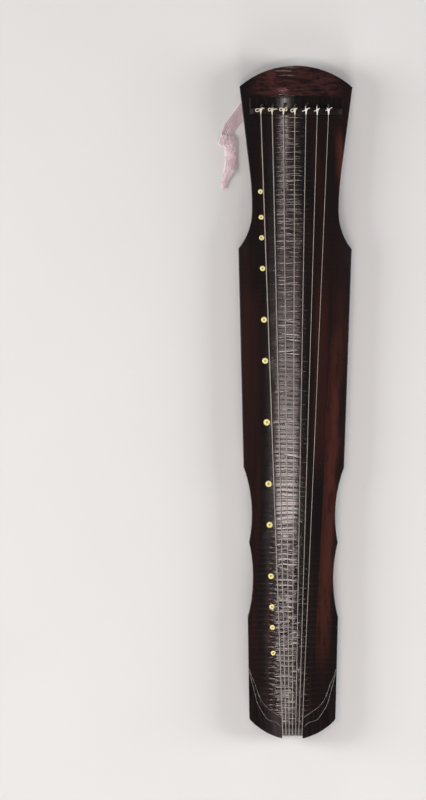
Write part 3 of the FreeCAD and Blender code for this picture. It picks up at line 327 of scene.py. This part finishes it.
def lacquer(name, upper):
    """Old black-brown lacquer, worn to red in places, with fine cracks across it and a deep gloss."""
    m = Nodes(name)
    x, y, z = m.axes()
    broad = m.noise(9, 5, vector=m.scaled((0.35, 1, 1)))
    fine = m.noise(90, 6, vector=m.scaled((0.25, 1, 1)))
    streaks = m.noise(34, 6, vector=m.scaled((0.10, 1.5, 1)))
    colour = m.mix(m.ramp(broad, 0.38, 0.66), (0.0042, 0.0022, 0.0021), (0.0098, 0.0038, 0.0033))
    colour = m.mix(m.ramp(streaks, 0.50, 0.72, 0.0, 0.7), colour, (0.024, 0.0066, 0.0046))
    colour = upper_wear(m, colour, broad, fine, streaks) if upper else lower_wear(m, colour, fine)

    # The cracks: thin in the middle of the instrument, wide and pillow-shaped between them at the tail
    middle = m.band(y, 0.006, 0.024, 0.015) if upper else m.band(y, 0.0, 0.07, 0.03)
    tail = m.ramp(x, -0.17, -0.30) if upper else m.ramp(x, -0.2, -0.4)
    broken = m.ramp(m.noise(62, 3, vector=m.scaled((1.8, 0.7, 1))), 0.36, 0.54, 0.30, 1.0)
    thin = m.ramp(rows(m, 0.0086, 1.5), 0.0, 0.115)
    heavy = m.ramp(rows(m, 0.0094, 1.6), 0.0, 0.33)
    crack = m.times(m.minus(1.0, m.blend(tail, thin, heavy)), broken)
    shown = m.times(crack, m.times_plus(middle, 0.35, 0.30))
    colour = m.mix(m.times(shown, 0.45), colour, (0.036, 0.020, 0.016))

    # Bare wood in the hollow of the top board and on the walls of the bottom board's openings
    upward = m.axes(m.add("ShaderNodeNewGeometry").outputs["Normal"])["Z"]
    inside = m.times(m.ramp(upward, -0.25, -0.35), m.ramp(z, 0.0366, 0.0369)) if upper else hole_mask(m)
    grain = m.noise(60, 6, vector=m.scaled((0.12, 1, 1)))
    colour = m.mix(inside, colour, m.mix(grain, (0.075, 0.036, 0.018), (0.20, 0.115, 0.06)))

    # Relief, which fades on the side walls
    between = m.ramp(rows(m, 0.0047, 1.6), 0.0, 0.30)
    wide = m.ramp(crackle(m, 80, 4.5, 0.008), 0.0, 0.09)
    small = m.ramp(crackle(m, 330, 20, 0.004), 0.0, 0.30)
    depth = m.times(m.times_plus(middle, 0.96, 0.04), m.ramp(m.math("ABSOLUTE", upward), 0.35, 0.7))
    deep = m.math("ADD", m.ramp(x, 0.42, 0.10, 0.30, 1.0), m.times(tail, 0.6))
    height = m.times(crack, m.times(deep, -1.0))
    height = m.times_plus(wide, m.times_plus(tail, 0.25, 0.35), height)
    height = m.times_plus(between, m.times_plus(tail, 0.20, 0.04), height)
    height = m.times(m.times_plus(small, 0.07, height), depth)
    height = m.times_plus(m.noise(60, 4, vector=m.scaled((1.3, 0.7, 1))), 0.14, height)
    height = m.times_plus(m.noise(700, 3), 0.020, height)
    normal = m.bump(height, 1.0, 0.00032, m.rounded(0.0018))
    rough = m.times_plus(shown, 0.08, m.times_plus(fine, 0.08, 0.075))
    return m.finish(colour, m.math("MAXIMUM", rough, m.times(inside, 0.75)), normal)


def hardwood(name, gloss, shine=0.38):
    """Very dark polished hardwood with long pores and slightly worn edges."""
    m = Nodes(name)
    pores = m.noise(260, 5, vector=m.scaled((0.08, 1, 1)))
    broad = m.noise(24, 4)
    colour = m.mix(m.ramp(pores, 0.42, 0.6), (0.0045, 0.0028, 0.0026), (0.0105, 0.0056, 0.0048))
    colour = m.mix(m.ramp(broad, 0.5, 0.75, 0.0, 0.5), colour, (0.017, 0.0075, 0.006))
    rounded = m.rounded(0.0014)
    flat = m.add("ShaderNodeNewGeometry").outputs["Normal"]
    turned = m.add("ShaderNodeVectorMath", i0=rounded, i1=flat)
    turned.operation = "DOT_PRODUCT"
    worn = m.ramp(turned.outputs["Value"], 0.985, 0.80)
    worn = m.times(worn, m.ramp(m.noise(160, 4), 0.35, 0.6, 0.35, 1.0))
    colour = m.mix(m.times(worn, 0.6), colour, (0.045, 0.030, 0.024))
    height = m.times_plus(broad, 0.6, m.times(pores, 0.4))
    rough = m.times_plus(pores, 0.12, gloss - 0.05)
    return m.finish(colour, rough, m.bump(height, 0.3, 0.0002, rounded), Specular_IOR_Level=shine)


def jade(name):
    """Polished cream jade with cloudy patches, brown veins and small soiled patches."""
    m = Nodes(name)
    clouds = m.noise(120, 5, distort=0.6)
    veins = m.cells(95, m.scaled((1, 1, 0.5)))
    colour = m.mix(m.ramp(clouds, 0.3, 0.7), (0.40, 0.36, 0.23), (0.72, 0.70, 0.56))
    colour = m.mix(m.ramp(veins, 0.05, 0.0, 0.0, 0.45), colour, (0.22, 0.13, 0.06))
    colour = m.mix(m.ramp(m.noise(310, 4), 0.55, 0.75, 0.0, 0.4), colour, (0.50, 0.47, 0.36))
    rough = m.times_plus(clouds, 0.22, 0.16)
    return m.finish(colour, rough, m.bump(clouds, 0.12, 0.0003, m.rounded(0.0005)),
                    Subsurface_Weight=0.12, Subsurface_Radius=(0.004, 0.003, 0.002), Subsurface_Scale=0.4)


def silk(name, dark, light, along=False, fuzz=0.35):
    """Silk with soft sheen, its filaments shown as a wave along the string or as fine noise."""
    m = Nodes(name)
    fibres = m.noise(900, 4)
    height = fibres
    if along:
        turned = m.scaled((1, 0.8, 0.8))
        wave = m.add("ShaderNodeTexWave", Vector=turned, Scale=330, Distortion=1.5, Detail=2)
        height = wave.outputs["Fac"]
    mixed = m.times_plus(height, 0.5, m.times(m.noise(70, 4), 0.5))
    colour = m.mix(m.ramp(mixed, 0.25, 0.7), dark, light)
    return m.finish(colour, m.times_plus(fibres, 0.2, 0.42), m.bump(height, 0.35, 0.00015),
                    Sheen_Weight=fuzz, Sheen_Roughness=0.4)


def raw_wood(name):
    m = Nodes(name)
    grain = m.noise(120, 6, vector=m.scaled((1, 1, 0.12)))
    colour = m.mix(m.ramp(grain, 0.35, 0.65), (0.15, 0.085, 0.042), (0.36, 0.23, 0.13))
    return m.finish(colour, m.times_plus(grain, 0.2, 0.6), m.bump(grain, 0.4, 0.0004))


upper_lacquer = lacquer("upper_lacquer", True)
lower_lacquer = lacquer("lower_lacquer", False)
dark_wood = hardwood("dark_hardwood", 0.15)
glossy_wood = hardwood("polished_hardwood", 0.13)
matt_wood = hardwood("bridge_hardwood", 0.42, 0.16)
jade_stone = jade("jade")
post_wood = raw_wood("raw_wood")
string_silk = silk("string_silk", (0.17, 0.150, 0.132), (0.42, 0.380, 0.335), along=True)
beige_silk = silk("beige_silk", (0.58, 0.49, 0.35), (0.90, 0.83, 0.68))
white_silk = silk("white_silk", (0.74, 0.71, 0.64), (0.95, 0.94, 0.90))
pink_silk = silk("pink_silk", (0.60, 0.36, 0.41), (0.95, 0.84, 0.86))


# Meshes from rings and tubes

def carried_frames(path):
    """The side and up directions at each point of a path, carried along it without a twist."""
    frames, side = [], None
    for index in range(len(path)):
        ahead = (path[min(index + 1, len(path) - 1)] - path[max(index - 1, 0)]).normalized()
        if side is None:
            side = ahead.orthogonal().normalized()
        side = (side - ahead*side.dot(ahead)).normalized()
        frames.append((side, ahead.cross(side)))
    return frames


class Shape:
    """Vertices and faces of one mesh, with a number for each vertex that its material can read."""

    def __init__(self):
        self.points, self.faces, self.values = [], [], []

    def ring(self, points, value):
        first = len(self.points)
        self.points += points
        self.values += [value]*len(points)
        return range(first, first + len(points))

    def join(self, first, second):
        count = len(first)
        for k in range(count):
            n = (k + 1) % count
            self.faces.append((first[k], first[n], second[n], second[k]))

    def loft(self, rings, start=True):
        """Faces through rings of points, each with its number, closed at the end and, if start, there too."""
        last = None
        for points, value in rings:
            now = self.ring(points, value)
            if last:
                self.join(last, now)
            elif start:
                self.faces.append(tuple(reversed(now)))
            last = now
        self.faces.append(tuple(last))

    def tube(self, path, radii, sides=7, value=None, flatten=1.0):
        """A closed tube along a path. Without a value, its vertices are numbered from 0 to 1 along it."""
        turns = [2*math.pi*k/sides for k in range(sides)]
        rings = []
        for index, (spot, (side, up)) in enumerate(zip(path, carried_frames(path))):
            radius = radii[index] if hasattr(radii, "__len__") else radii
            ring = [spot + side*math.cos(a)*radius + up*math.sin(a)*radius*flatten for a in turns]
            rings.append((ring, index/(len(path) - 1) if value is None else value))
        self.loft(rings)

    def build(self, name, material):
        mesh = bpy.data.meshes.new(name)
        mesh.from_pydata([tuple(p) for p in self.points], [], self.faces)
        mesh.update()
        mesh.polygons.foreach_set("use_smooth", [True]*len(mesh.polygons))
        attribute = mesh.attributes.new("along", "FLOAT", "POINT")
        attribute.data.foreach_set("value", self.values)
        mesh.materials.append(material)
        made = bpy.data.objects.new(name, mesh)
        bpy.context.collection.objects.link(made)
        return made


def smooth_line(points):
    """Points along the smooth curve that has these points as its control points."""
    curve = bpy.data.curves.new("route", "CURVE")
    curve.dimensions = "3D"
    curve.resolution_u = 10
    spline = curve.splines.new("NURBS")
    spline.points.add(len(points) - 1)
    for target, spot in zip(spline.points, points):
        target.co = (*spot, 1)
    spline.order_u = 3
    spline.use_endpoint_u = True
    holder = bpy.data.objects.new("route", curve)
    mesh = bpy.data.meshes.new_from_object(holder)
    line = [v.co.copy() for v in mesh.vertices]
    bpy.data.objects.remove(holder)
    bpy.data.meshes.remove(mesh)
    bpy.data.curves.remove(curve)
    return line


def evenly(line, spacing):
    """The same line in equal steps."""
    lengths = [0.0]
    for a, b in zip(line, line[1:]):
        lengths.append(lengths[-1] + (b - a).length)
    count = max(int(lengths[-1]/spacing), 4)
    spots, k = [], 0
    for step in range(count + 1):
        want = lengths[-1]*step/count
        while k < len(line) - 2 and lengths[k + 1] < want:
            k += 1
        share = (want - lengths[k])/max(lengths[k + 1] - lengths[k], 1e-9)
        spots.append(line[k].lerp(line[k + 1], share))
    return spots


STRANDS = 2
LAY_PITCH = 0.0068


def twisted_cord(name, line, material, phase):
    """A cord of twisted strands along a line."""
    path = evenly(line, 0.0006)
    step = (path[1] - path[0]).length
    reach = CORD_DIAMETER*0.245
    frames = carried_frames(path)
    shape = Shape()
    for strand in range(STRANDS):
        spots = []
        for index, (spot, (side, up)) in enumerate(zip(path, frames)):
            angle = phase + 2*math.pi*(strand/STRANDS + index*step/LAY_PITCH)
            spots.append(spot + side*math.cos(angle)*reach + up*math.sin(angle)*reach)
        shape.tube(spots, CORD_DIAMETER/2 - reach + 0.00004, sides=8)
    return shape.build(name, material)


def ride(made, body, slot, *replaced):
    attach(made, body)
    if replaced:
        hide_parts(*replaced)
    return made


# Cords: the free parts to the tassel, the standing parts from the knots and the windings on the pegs

WINDING_TOP = 27.6
WINDING_PITCH = 3.1
WINDING_RADIUS = 6.65
WINDING_TURNS = 2
WINDING_STEPS = 64
FREE_REACH = 6.9
FREE_HEIGHT = WINDING_TOP - WINDING_TURNS*WINDING_PITCH - CORD_DIAMETER/MM - 0.8
FLOOR_LEVEL = 1.45
LANE_PITCH = 3.2
TASSEL_X = 476.5
KNOT_X = 0.524
STANDING_END = 0.0261
# Stops of the free cords' common way along the head's edge, as stations and distances from the middle
# line, and how far each cord strays from its place there
RIBBON = ((42, 63.5), (64.5, 86), (87, 103), (105, 116.5), (119, 123.5))
RIBBON_WANDER = ((0, 0, 0, 0, 0), (0, 0.1, 0.05, -0.05, 0), (0, -0.05, 0.1, 0.05, 0), (0, 0, 0, 0, 0),
                 (-0.05, 0.05, -0.1, 0.05, 0), (0.05, -0.05, 0.05, -0.1, 0), (0, 0.1, -0.05, 0.05, 0))


def peg_offset(number):
    return (4 - number)*PEG_PITCH


def free_cord_route(number):
    """The free cord's points: off the peg, down to the floor, along its lane and to the tassel."""
    offset = peg_offset(number)
    x = PEG_X/MM
    if number == 1:
        near = x + FREE_REACH
        points = [(near, offset - 3, FREE_HEIGHT), (near, offset + 5.5, FREE_HEIGHT - 0.8),
                  (near - 1.5, offset + 13.5, FLOOR_LEVEL + 4.5), (near - 7.7, offset + 21.4, FLOOR_LEVEL)]
    else:
        lane = x + 20 + (number - 1)*LANE_PITCH - (LANE_PITCH if number == 2 else 0)
        side = offset + FREE_REACH
        points = [(x - 3, side, FREE_HEIGHT), (x + 9, side, FREE_HEIGHT - 0.8),
                  (lane - 3, side + 2, FLOOR_LEVEL + 1.5)]
        for passed in range(number, min(number, 3) - 1, -1):
            landing = peg_offset(passed) + FREE_REACH + 14.5
            points.append((lane + 0.5*math.sin(landing/11), landing, FLOOR_LEVEL))
    stops = [Vector((HALF_LENGTH/MM - station, side)) for station, side in RIBBON]
    between = [(b - a).normalized() for a, b in zip(stops, stops[1:])]
    directions = [Vector((0, 1))] + between + [Vector((-1, 0))]
    for index in range(max(3 - number, 0), len(stops)):
        course = (directions[index] + directions[index + 1]).normalized()
        aside = (number - 4)*LANE_PITCH + RIBBON_WANDER[number - 1][index]
        spot = stops[index] + Vector((course.y, -course.x))*aside
        points.append((spot.x, spot.y, FLOOR_LEVEL))
    points.append((TASSEL_X, points[-1][1], FLOOR_LEVEL))
    return [Vector(p)*MM for p in points]


def bridge_crest(y):
    return ridge(BRIDGE_STATION) + BRIDGE_HEIGHT*MM - sag(BRIDGE_RADIUS, y)


def knot_centre(number):
    y = ((4 - number)*STRING_PITCH + 2.5)*MM
    return Vector((KNOT_X, y, bridge_crest(y) + 1.8*MM))


def standing_route(number):
    """The standing cord's points: from the knot toward the head and straight down through the boards."""
    centre = knot_centre(number)
    x = centre.x + 2.5*MM
    y = peg_offset(number)*MM
    return [Vector((x, centre.y, centre.z)), Vector((x + 4.6*MM, centre.y, centre.z)),
            Vector((PEG_X, y, surface(PEG_X, y) + 6.5*MM)), Vector((PEG_X, y, STANDING_END))]


def winding_line(number):
    """Out of the peg's side hole, round its waist and off in a straight end."""
    centre = Vector((PEG_X, peg_offset(number)*MM, 0))
    line = [centre + Vector((1.9, 0, WINDING_TOP))*MM, centre + Vector((3.9, 0, WINDING_TOP))*MM,
            centre + Vector((5.2, 0.9, WINDING_TOP))*MM]
    for step in range(WINDING_STEPS + 1):
        turn = step/WINDING_STEPS*WINDING_TURNS
        angle = math.pi/4 + 2*math.pi*turn
        spot = Vector((WINDING_RADIUS*math.cos(angle), WINDING_RADIUS*math.sin(angle),
                       WINDING_TOP - 0.4 - WINDING_PITCH*turn))
        line.append(centre + spot*MM)
    ahead = (line[-1] - line[-2]).normalized()
    line.append(line[-1] + ahead*CORD_DIAMETER)
    return line


def free_cords():
    for number in NUMBERS:
        route = free_cord_route(number)
        line = smooth_line(route)
        made = twisted_cord(f"free_cord_{number}", line, pink_silk, number*0.9)
        ride(made, "instrument", "cord_silk", f"tassel_cord_{number}")


def held_cords():
    for number in NUMBERS:
        line = smooth_line(standing_route(number))
        made = twisted_cord(f"standing_cord_{number}", line, standing_silk, number*1.3)
        ride(made, "instrument", "cord_silk", f"peg_cord_{number}")
        made = twisted_cord(f"wound_cord_{number}", winding_line(number), pink_silk, number*0.7)
        ride(made, f"peg_{number}", "cord_silk", f"peg_winding_{number}")


# Each knot: how far its parts reach to the left and to the head, in mm, and whether a part is a loop
KNOT_PARTS = (
    ((9.5, -1.5, True), (-6.5, 2.0, False), (-3.5, 3.2, False)),
    ((6.8, 0.0, True), (-9.5, 0.4, False), (-2.5, 3.0, False)),
    ((6.8, 0.8, True), (-6.2, 1.0, True)),
    ((6.8, -2.2, True), (-5.0, 2.4, False), (0.3, 4.0, False)),
    ((6.8, -2.0, False), (-7.2, 2.8, False), (0.2, 6.4, False)),
    ((6.2, -1.8, False), (-4.6, 2.2, False), (0.2, 6.8, False)),
    ((5.2, -0.2, False), (-6.8, 4.0, False), (2.6, 4.2, False)),
)


def knot(number):
    """A tight string knot with its loop and loose ears, lying on the bridge."""
    rng = random.Random(number)
    centre = knot_centre(number)
    beige = number < 5
    thick = 0.9*MM if beige else 0.8*MM
    shape = Shape()
    loops = []
    for step in range(49):
        t = 2*math.pi*step/48
        x, y = math.sin(t) + 2*math.sin(2*t), math.cos(t) - 2*math.cos(2*t)
        loops.append(centre + Vector((x*0.62, y*0.62, 0.1 - math.sin(3*t)*0.75))*MM)
    shape.tube(loops, thick, sides=9)
    core = [centre + Vector((x, 0, 0))*MM for x in (-9.0, -5.5, -2.4, -1.2, 0, 1.2, 2.4)]
    shape.tube(core, [0.8*MM, 1.15*MM, 1.6*MM, 1.8*MM, 1.85*MM, 1.7*MM, 1.2*MM], sides=10)
    for left, ahead, looped in KNOT_PARTS[number - 1]:
        tip = Vector((ahead, left, 0))
        across = Vector((-tip.y, tip.x, 0)).normalized()
        count = 22 if looped else 12
        spots = []
        for step in range(count + 1):
            way = step/count
            if looped:
                spot = tip*math.sin(math.pi*way) + across*2.5*math.sin(2*math.pi*way)
            else:
                spot = tip*way + across*0.8*math.sin(2.2*way)*rng.choice((1, 1, 0.8))
            place = centre + Vector((spot.x, spot.y, 0))*MM
            rest = bridge_crest(place.y) + 1.2*MM
            lift = 0.6*MM*math.sin(math.pi*way)
            spots.append(Vector((place.x, place.y, max(rest, centre.z - 0.8*MM) + lift)))
        radii = [0.72*MM]*(count + 1) if looped else [1.0*MM*(1 - 0.4*s/count) for s in range(count + 1)]
        shape.tube(spots, radii)
    return shape.build(f"knot_{number}", beige_silk if beige else white_silk)


def knots():
    made = [knot(number) for number in NUMBERS]
    for piece in made:
        ride(piece, "instrument", "cord_silk")
    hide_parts("string_knots")


# The tassel: its outline as distances along X and the lowest and highest Y
TASSEL_OUTLINE = (
    (480, 108, 134), (474, 106, 137), (468, 105.5, 138.5), (463.5, 105, 139), (461.5, 105, 126),
    (452, 105, 127.5), (440, 105, 126), (430, 104.5, 127), (420, 104.5, 129), (415, 109, 130),
    (408, 114, 131.5), (399, 119.5, 133), (391, 122.5, 134), (386, 124, 131),
)
LUMP_START, LUMP_END = 480, 386.5
LUMP_RINGS = 80
LUMP_BOTTOM = 0.3
STRAND_END = 384.5
STRAYS = (
    ((470, 137), (478, 141), (487, 142)), ((448, 126), (446, 129), (449, 132)),
    ((420, 129), (412, 133), (404, 139)), ((416, 106), (411, 104), (409, 103)),
)


def outline_at(x):
    for (x1, low1, high1), (x2, low2, high2) in zip(TASSEL_OUTLINE, TASSEL_OUTLINE[1:]):
        if x2 <= x <= x1:
            share = (x1 - x)/(x1 - x2)
            return low1 + (low2 - low1)*share, high1 + (high2 - high1)*share
    return TASSEL_OUTLINE[-1][1:] if x < 400 else TASSEL_OUTLINE[0][1:]


def tassel_height(x, share):
    """The top of the tassel at a share of its width."""
    low, high = outline_at(x)
    crown = 2.2 + 0.22*(high - low)*min(1, (x - 384)/30)
    return 0.4 + crown*math.sqrt(max(0.0, 1 - (2*share - 1)**2))


def tassel_lump(shape):
    """A soft lump with a flat underside and an uneven edge."""
    shares = [0.5 - 0.5*math.cos(math.pi*k/27) for k in range(28)]
    rings = []
    for step in range(LUMP_RINGS):
        x = LUMP_START - (LUMP_START - LUMP_END)*step/(LUMP_RINGS - 1)
        low, high = outline_at(x)
        low += 1.0 + noise.noise(Vector((x*0.22, 0.0, 3)))*1.6
        high += noise.noise(Vector((x*0.22, 9.0, 3)))*1.6 - 1.0
        ring = []
        for share in shares:
            y = low + (high - low)*share
            bump = noise.noise(Vector((x*0.35, y*0.5, 0)))*0.9
            ring.append(Vector((x, y, max(0.4, tassel_height(x, share) - 0.5 + bump)))*MM)
        ring += [Vector((x, low + (high - low)*share, LUMP_BOTTOM))*MM for share in reversed(shares[1:-1])]
        rings.append((ring, 0.25))
    shape.loft(rings)


def tassel_strands(shape, rng):
    """Matted strands that lie over the lump."""
    for _ in range(1500):
        x = rng.uniform(392, 484)
        share = rng.random()
        long = rng.uniform(8, 26)
        drift, curl = rng.uniform(-0.09, 0.09), rng.uniform(0.2, 1.6)
        phase = rng.uniform(0, 6.28)
        spots = []
        for k in range(8):
            here = x - long*k/7
            if here < STRAND_END:
                break
            low, high = outline_at(here)
            s = min(max(share + drift*k/7, 0.01), 0.99)
            y = low + (high - low)*s + curl*math.sin(phase + k*0.9)*0.5
            z = max(0.35, tassel_height(here, s) + 0.15 + 0.35*math.sin(phase*2 + k*1.3))
            spots.append(Vector((here, y, z))*MM)
        if len(spots) > 3:
            radius = rng.uniform(0.16, 0.42)*MM
            near_edge = min(share, 1 - share) < 0.07
            value = 1.0 if near_edge else rng.choice((0.0, 0.1, 0.35, 0.6, 0.8, 0.95))
            shape.tube(spots, [radius]*(len(spots) - 1) + [radius*0.3], sides=5, value=value)


def tassel_edges(shape, rng):
    """Short fibres that stick out along both edges."""
    for _ in range(420):
        x = rng.uniform(388, 478)
        lower = rng.random() < 0.5
        low, high = outline_at(x)
        y, out = (low, -1) if lower else (high, 1)
        reach = rng.uniform(0.8, 4.0)
        spots = [Vector((x + 3*way, y + out*(reach*way - 1.2), 1.2 + 1.2*math.sin(3*way)))*MM
                 for way in (0, 0.35, 0.7, 1)]
        shape.tube(spots, [0.26*MM, 0.22*MM, 0.16*MM, 0.05*MM], sides=4, value=1.0)


def tassel():
    """Frayed silk: a soft lump with matted strands over it, a torn edge and stray hairs."""
    rng = random.Random(11)
    shape = Shape()
    tassel_lump(shape)
    tassel_strands(shape, rng)
    tassel_edges(shape, rng)
    for start, middle, end in STRAYS:
        line = smooth_line([Vector((*start, 2))*MM, Vector((*middle, 3))*MM, Vector((*end, 1.5))*MM])
        shape.tube(line, 0.11*MM, sides=4, value=0.9)
    ride(shape.build("frayed_tassel", tassel_silk), "instrument", "tassel_silk", "tassel")


# Inlaid studs and the crowns' lines

STUD_DIAMETERS = (8.6, 8.7, 9.1, 9.4, 10.4, 10.5, 11.6, 11.0, 10.6, 10.1, 9.5, 9.0, 8.4)
STUD_FRACTIONS = (1/8, 1/6, 1/5, 1/4, 1/3, 2/5, 1/2, 3/5, 2/3, 3/4, 4/5, 5/6, 7/8)
# A stud's rings: shares of its radius and heights over the surface
STUD_PROFILE = ((1.16, -0.6), (1.16, 0.03), (1.03, 0.05), (0.99, 0.06), (0.94, 0.20), (0.72, 0.28),
                (0.42, 0.24), (0.30, 0.08), (0.2, 0.03), (0.08, 0.03))
FIRST_STUD_Y, LAST_STUD_Y = 62.9, 35.3
STUD_SIDES = 40


def studs():
    shape = Shape()
    for fraction, diameter in zip(STUD_FRACTIONS, STUD_DIAMETERS):
        station = BRIDGE_STATION + fraction*STRING_LENGTH
        way = (fraction - STUD_FRACTIONS[0])/(STUD_FRACTIONS[-1] - STUD_FRACTIONS[0])
        x, y = HALF_LENGTH - station*MM, (FIRST_STUD_Y + way*(LAST_STUD_Y - FIRST_STUD_Y))*MM
        spot = Vector((x, y, surface(x, y)))
        slope = (surface(x + MM, y) - surface(x - MM, y))/(2*MM)
        axis = Vector((-slope, y/math.sqrt(ARCH_RADIUS**2 - y**2), 1)).normalized()
        side = axis.orthogonal().normalized()
        other = axis.cross(side)
        rings = []
        for share, height in STUD_PROFILE:
            ring = []
            for k in range(STUD_SIDES):
                angle = 2*math.pi*k/STUD_SIDES
                radius = diameter/2*share*(1 + 0.012*math.sin(3*angle + station))*MM
                out = side*math.cos(angle)*radius + other*math.sin(angle)*radius
                ring.append(spot + axis*height*MM + out)
            rings.append((ring, share))
        shape.loft(rings, start=False)
    ride(shape.build("studs", stud_gold), "instrument", "gold", "inlaid_studs")


# Points of each incised line: stations and distances from the middle line
CROWN_LINES = (
    ((1086, 77.6), (1095, 75.8), (1108, 69.5), (1122, 64.5), (1138, 58.5), (1151, 50), (1160, 38),
     (1166, 29), (1172, 20)),
    ((1092, 77.6), (1110, 73.0), (1128, 68), (1146, 64), (1158, 57.5), (1168, 51), (1177, 45), (1180, 34),
     (1182, 27), (1189, 21)),
)
CROWN_LINE_LIFT = 1.02


def crown_lines():
    for name, side in (("left", 1), ("right", -1)):
        shape = Shape()
        for stops in CROWN_LINES:
            flat = smooth_line([Vector((HALF_LENGTH - s*MM, side*offset*MM, 0)) for s, offset in stops])
            spots = [Vector((p.x, p.y, surface(p.x, p.y) + CROWN_LINE_LIFT*MM))
                     for p in evenly(flat, 0.0015)]
            shape.tube(spots, 0.5*MM, sides=6, flatten=0.5)
        ride(shape.build(f"crown_line_{name}", incised), "instrument", "dark_hardwood")


def gold():
    m = Nodes("stud_gold")
    share = m.along()
    worn = m.noise(700, 4)
    colour = m.mix(m.ramp(worn, 0.35, 0.7), (0.70, 0.62, 0.19), (0.92, 0.87, 0.46))
    colour = m.mix(m.ramp(share, 0.46, 0.30, 0.0, 0.85), colour, (0.27, 0.22, 0.065))
    colour = m.mix(m.ramp(share, 0.96, 1.02), colour, (0.006, 0.004, 0.0035))
    return m.finish(colour, m.times_plus(worn, 0.25, 0.3), m.bump(worn, 0.2, 0.0002), Metallic=0.35)


def frayed():
    m = Nodes("frayed_silk")
    share = m.along()
    matted = m.noise(260, 6, vector=m.scaled((0.35, 1, 1)))
    colour = m.mix(m.ramp(matted, 0.3, 0.7), (0.52, 0.31, 0.345), (0.86, 0.68, 0.71))
    colour = m.mix(m.ramp(share, 0.3, 0.7, 0.0, 0.8), colour, (0.93, 0.80, 0.825))
    colour = m.mix(m.ramp(share, 0.90, 1.0), colour, (0.95, 0.91, 0.91))
    return m.finish(colour, m.times_plus(matted, 0.2, 0.5), m.bump(matted, 0.5, 0.0004),
                    Sheen_Weight=0.5, Sheen_Roughness=0.4)


def line_material():
    m = Nodes("incised_line")
    worn = m.noise(240, 4)
    colour = m.mix(m.ramp(worn, 0.35, 0.65), (0.10, 0.080, 0.074), (0.36, 0.315, 0.295))
    return m.finish(colour, m.times_plus(worn, 0.2, 0.4), m.bump(worn, 0.3, 0.0002))


FLOOR_REACH = 30


def floor():
    """Pale paper, which far from the object has the backdrop's even tone."""
    m = Nodes("floor_paper")
    grain = m.noise(4, 4)
    colour = m.mix(grain, (0.74, 0.735, 0.72), (0.78, 0.775, 0.765))
    material = m.finish(colour, m.times_plus(grain, 0.1, 0.75))
    far = m.ramp(m.length(m.place), 0.95, 2.2)
    seen = m.add("ShaderNodeLightPath").outputs["Is Camera Ray"]
    even = m.add("ShaderNodeEmission", Color=BACKDROP).outputs[0]
    output = next(node for node in m.tree.nodes if node.type == "OUTPUT_MATERIAL")
    paper = output.inputs["Surface"].links[0].from_socket
    both = m.add("ShaderNodeMixShader", i0=m.times(far, seen), i1=paper, i2=even)
    m.put(output, "Surface", both.outputs[0])
    mesh = bpy.data.meshes.new("floor")
    corners = [(x*FLOOR_REACH, y*FLOOR_REACH, 0) for x, y in ((-1, -1), (1, -1), (1, 1), (-1, 1))]
    mesh.from_pydata(corners, [], [(0, 1, 2, 3)])
    mesh.materials.append(material)
    made = bpy.data.objects.new("floor", mesh)
    bpy.context.collection.objects.link(made)


def backdrop():
    """A dim even world, which the camera sees as a pale backdrop."""
    world = bpy.data.worlds.new("world")
    world.use_nodes = True
    tree = world.node_tree
    dim = tree.nodes["Background"]
    dim.inputs["Color"].default_value = (0.92, 0.95, 1.0, 1)
    dim.inputs["Strength"].default_value = 0.13
    pale = tree.nodes.new("ShaderNodeBackground")
    pale.inputs["Color"].default_value = (*BACKDROP, 1)
    both = tree.nodes.new("ShaderNodeMixShader")
    tree.links.new(tree.nodes.new("ShaderNodeLightPath").outputs["Is Camera Ray"], both.inputs[0])
    tree.links.new(dim.outputs[0], both.inputs[1])
    tree.links.new(pale.outputs[0], both.inputs[2])
    tree.links.new(both.outputs[0], tree.nodes["World Output"].inputs["Surface"])
    return world


stud_gold = gold()
tassel_silk = frayed()
incised = line_material()
standing_silk = silk("standing_silk", (0.030, 0.019, 0.017), (0.085, 0.056, 0.048), fuzz=0.05)

free_cords()
tassel()
held_cords()
knots()
studs()
crown_lines()

NODE_MATERIALS = {
    "top_board": upper_lacquer, "bottom_board": lower_lacquer, "bridge": matt_wood,
    "string_eye_strip": glossy_wood, "heaven_pillar": post_wood, "earth_pillar": post_wood,
    "goose_foot_left": jade_stone, "goose_foot_right": jade_stone,
    **{f"tuning_peg_{number}": jade_stone for number in NUMBERS},
    **{f"string_{number}": string_silk for number in NUMBERS},
}
for name, node in nodes.items():
    if name in NODE_MATERIALS or not node.hide_render:
        node.data.materials.clear()
        node.data.materials.append(NODE_MATERIALS.get(name, dark_wood))

floor()

# Key lamps straight above the lacquer that mirrors them: name, place, size and power
ROSY = (1, 0.85, 0.82)
KEY_LAMPS = (
    ("wide_key", (-0.09, 0.375, 3.14), (1.42, 1.15), 1.5),
    ("middle_key", (-0.225, 0.29, 3.13), (1.11, 0.98), 4.4),
    ("waist_key", (-0.28, 0.24, 3.12), (0.88, 0.82), 5.8),
    ("tail_key", (-0.37, 0.225, 3.11), (0.54, 0.75), 4.0),
    ("bright_key", (-0.435, 0.215, 3.10), (0.37, 0.67), 7.6),
    ("head_gleam", (0.71, 0.37, 3.10), (0.24, 0.20), 2.0),
)
for name, (x, y, height), size, power in KEY_LAMPS:
    area_lamp(name, (x, y, height), (x, y, 0), size, power, ROSY)
area_lamp("left_fill", (0.2, 3.4, 1.9), (0, 0, 0), (1.2, 3.0), 92)
area_lamp("right_fill", (-0.2, -3.4, 1.9), (0, 0, 0), (1.2, 3.0), 92)
area_lamp("head_fill", (3.6, 0.3, 0.8), (0.2, 0, 0), (0.6, 2.0), 18)
area_lamp("tail_fill", (-3.4, -0.2, 1.9), (-0.2, 0, 0), (1.2, 2.4), 48)

scene = bpy.context.scene
scene.world = backdrop()
scene.view_settings.view_transform = "Standard"
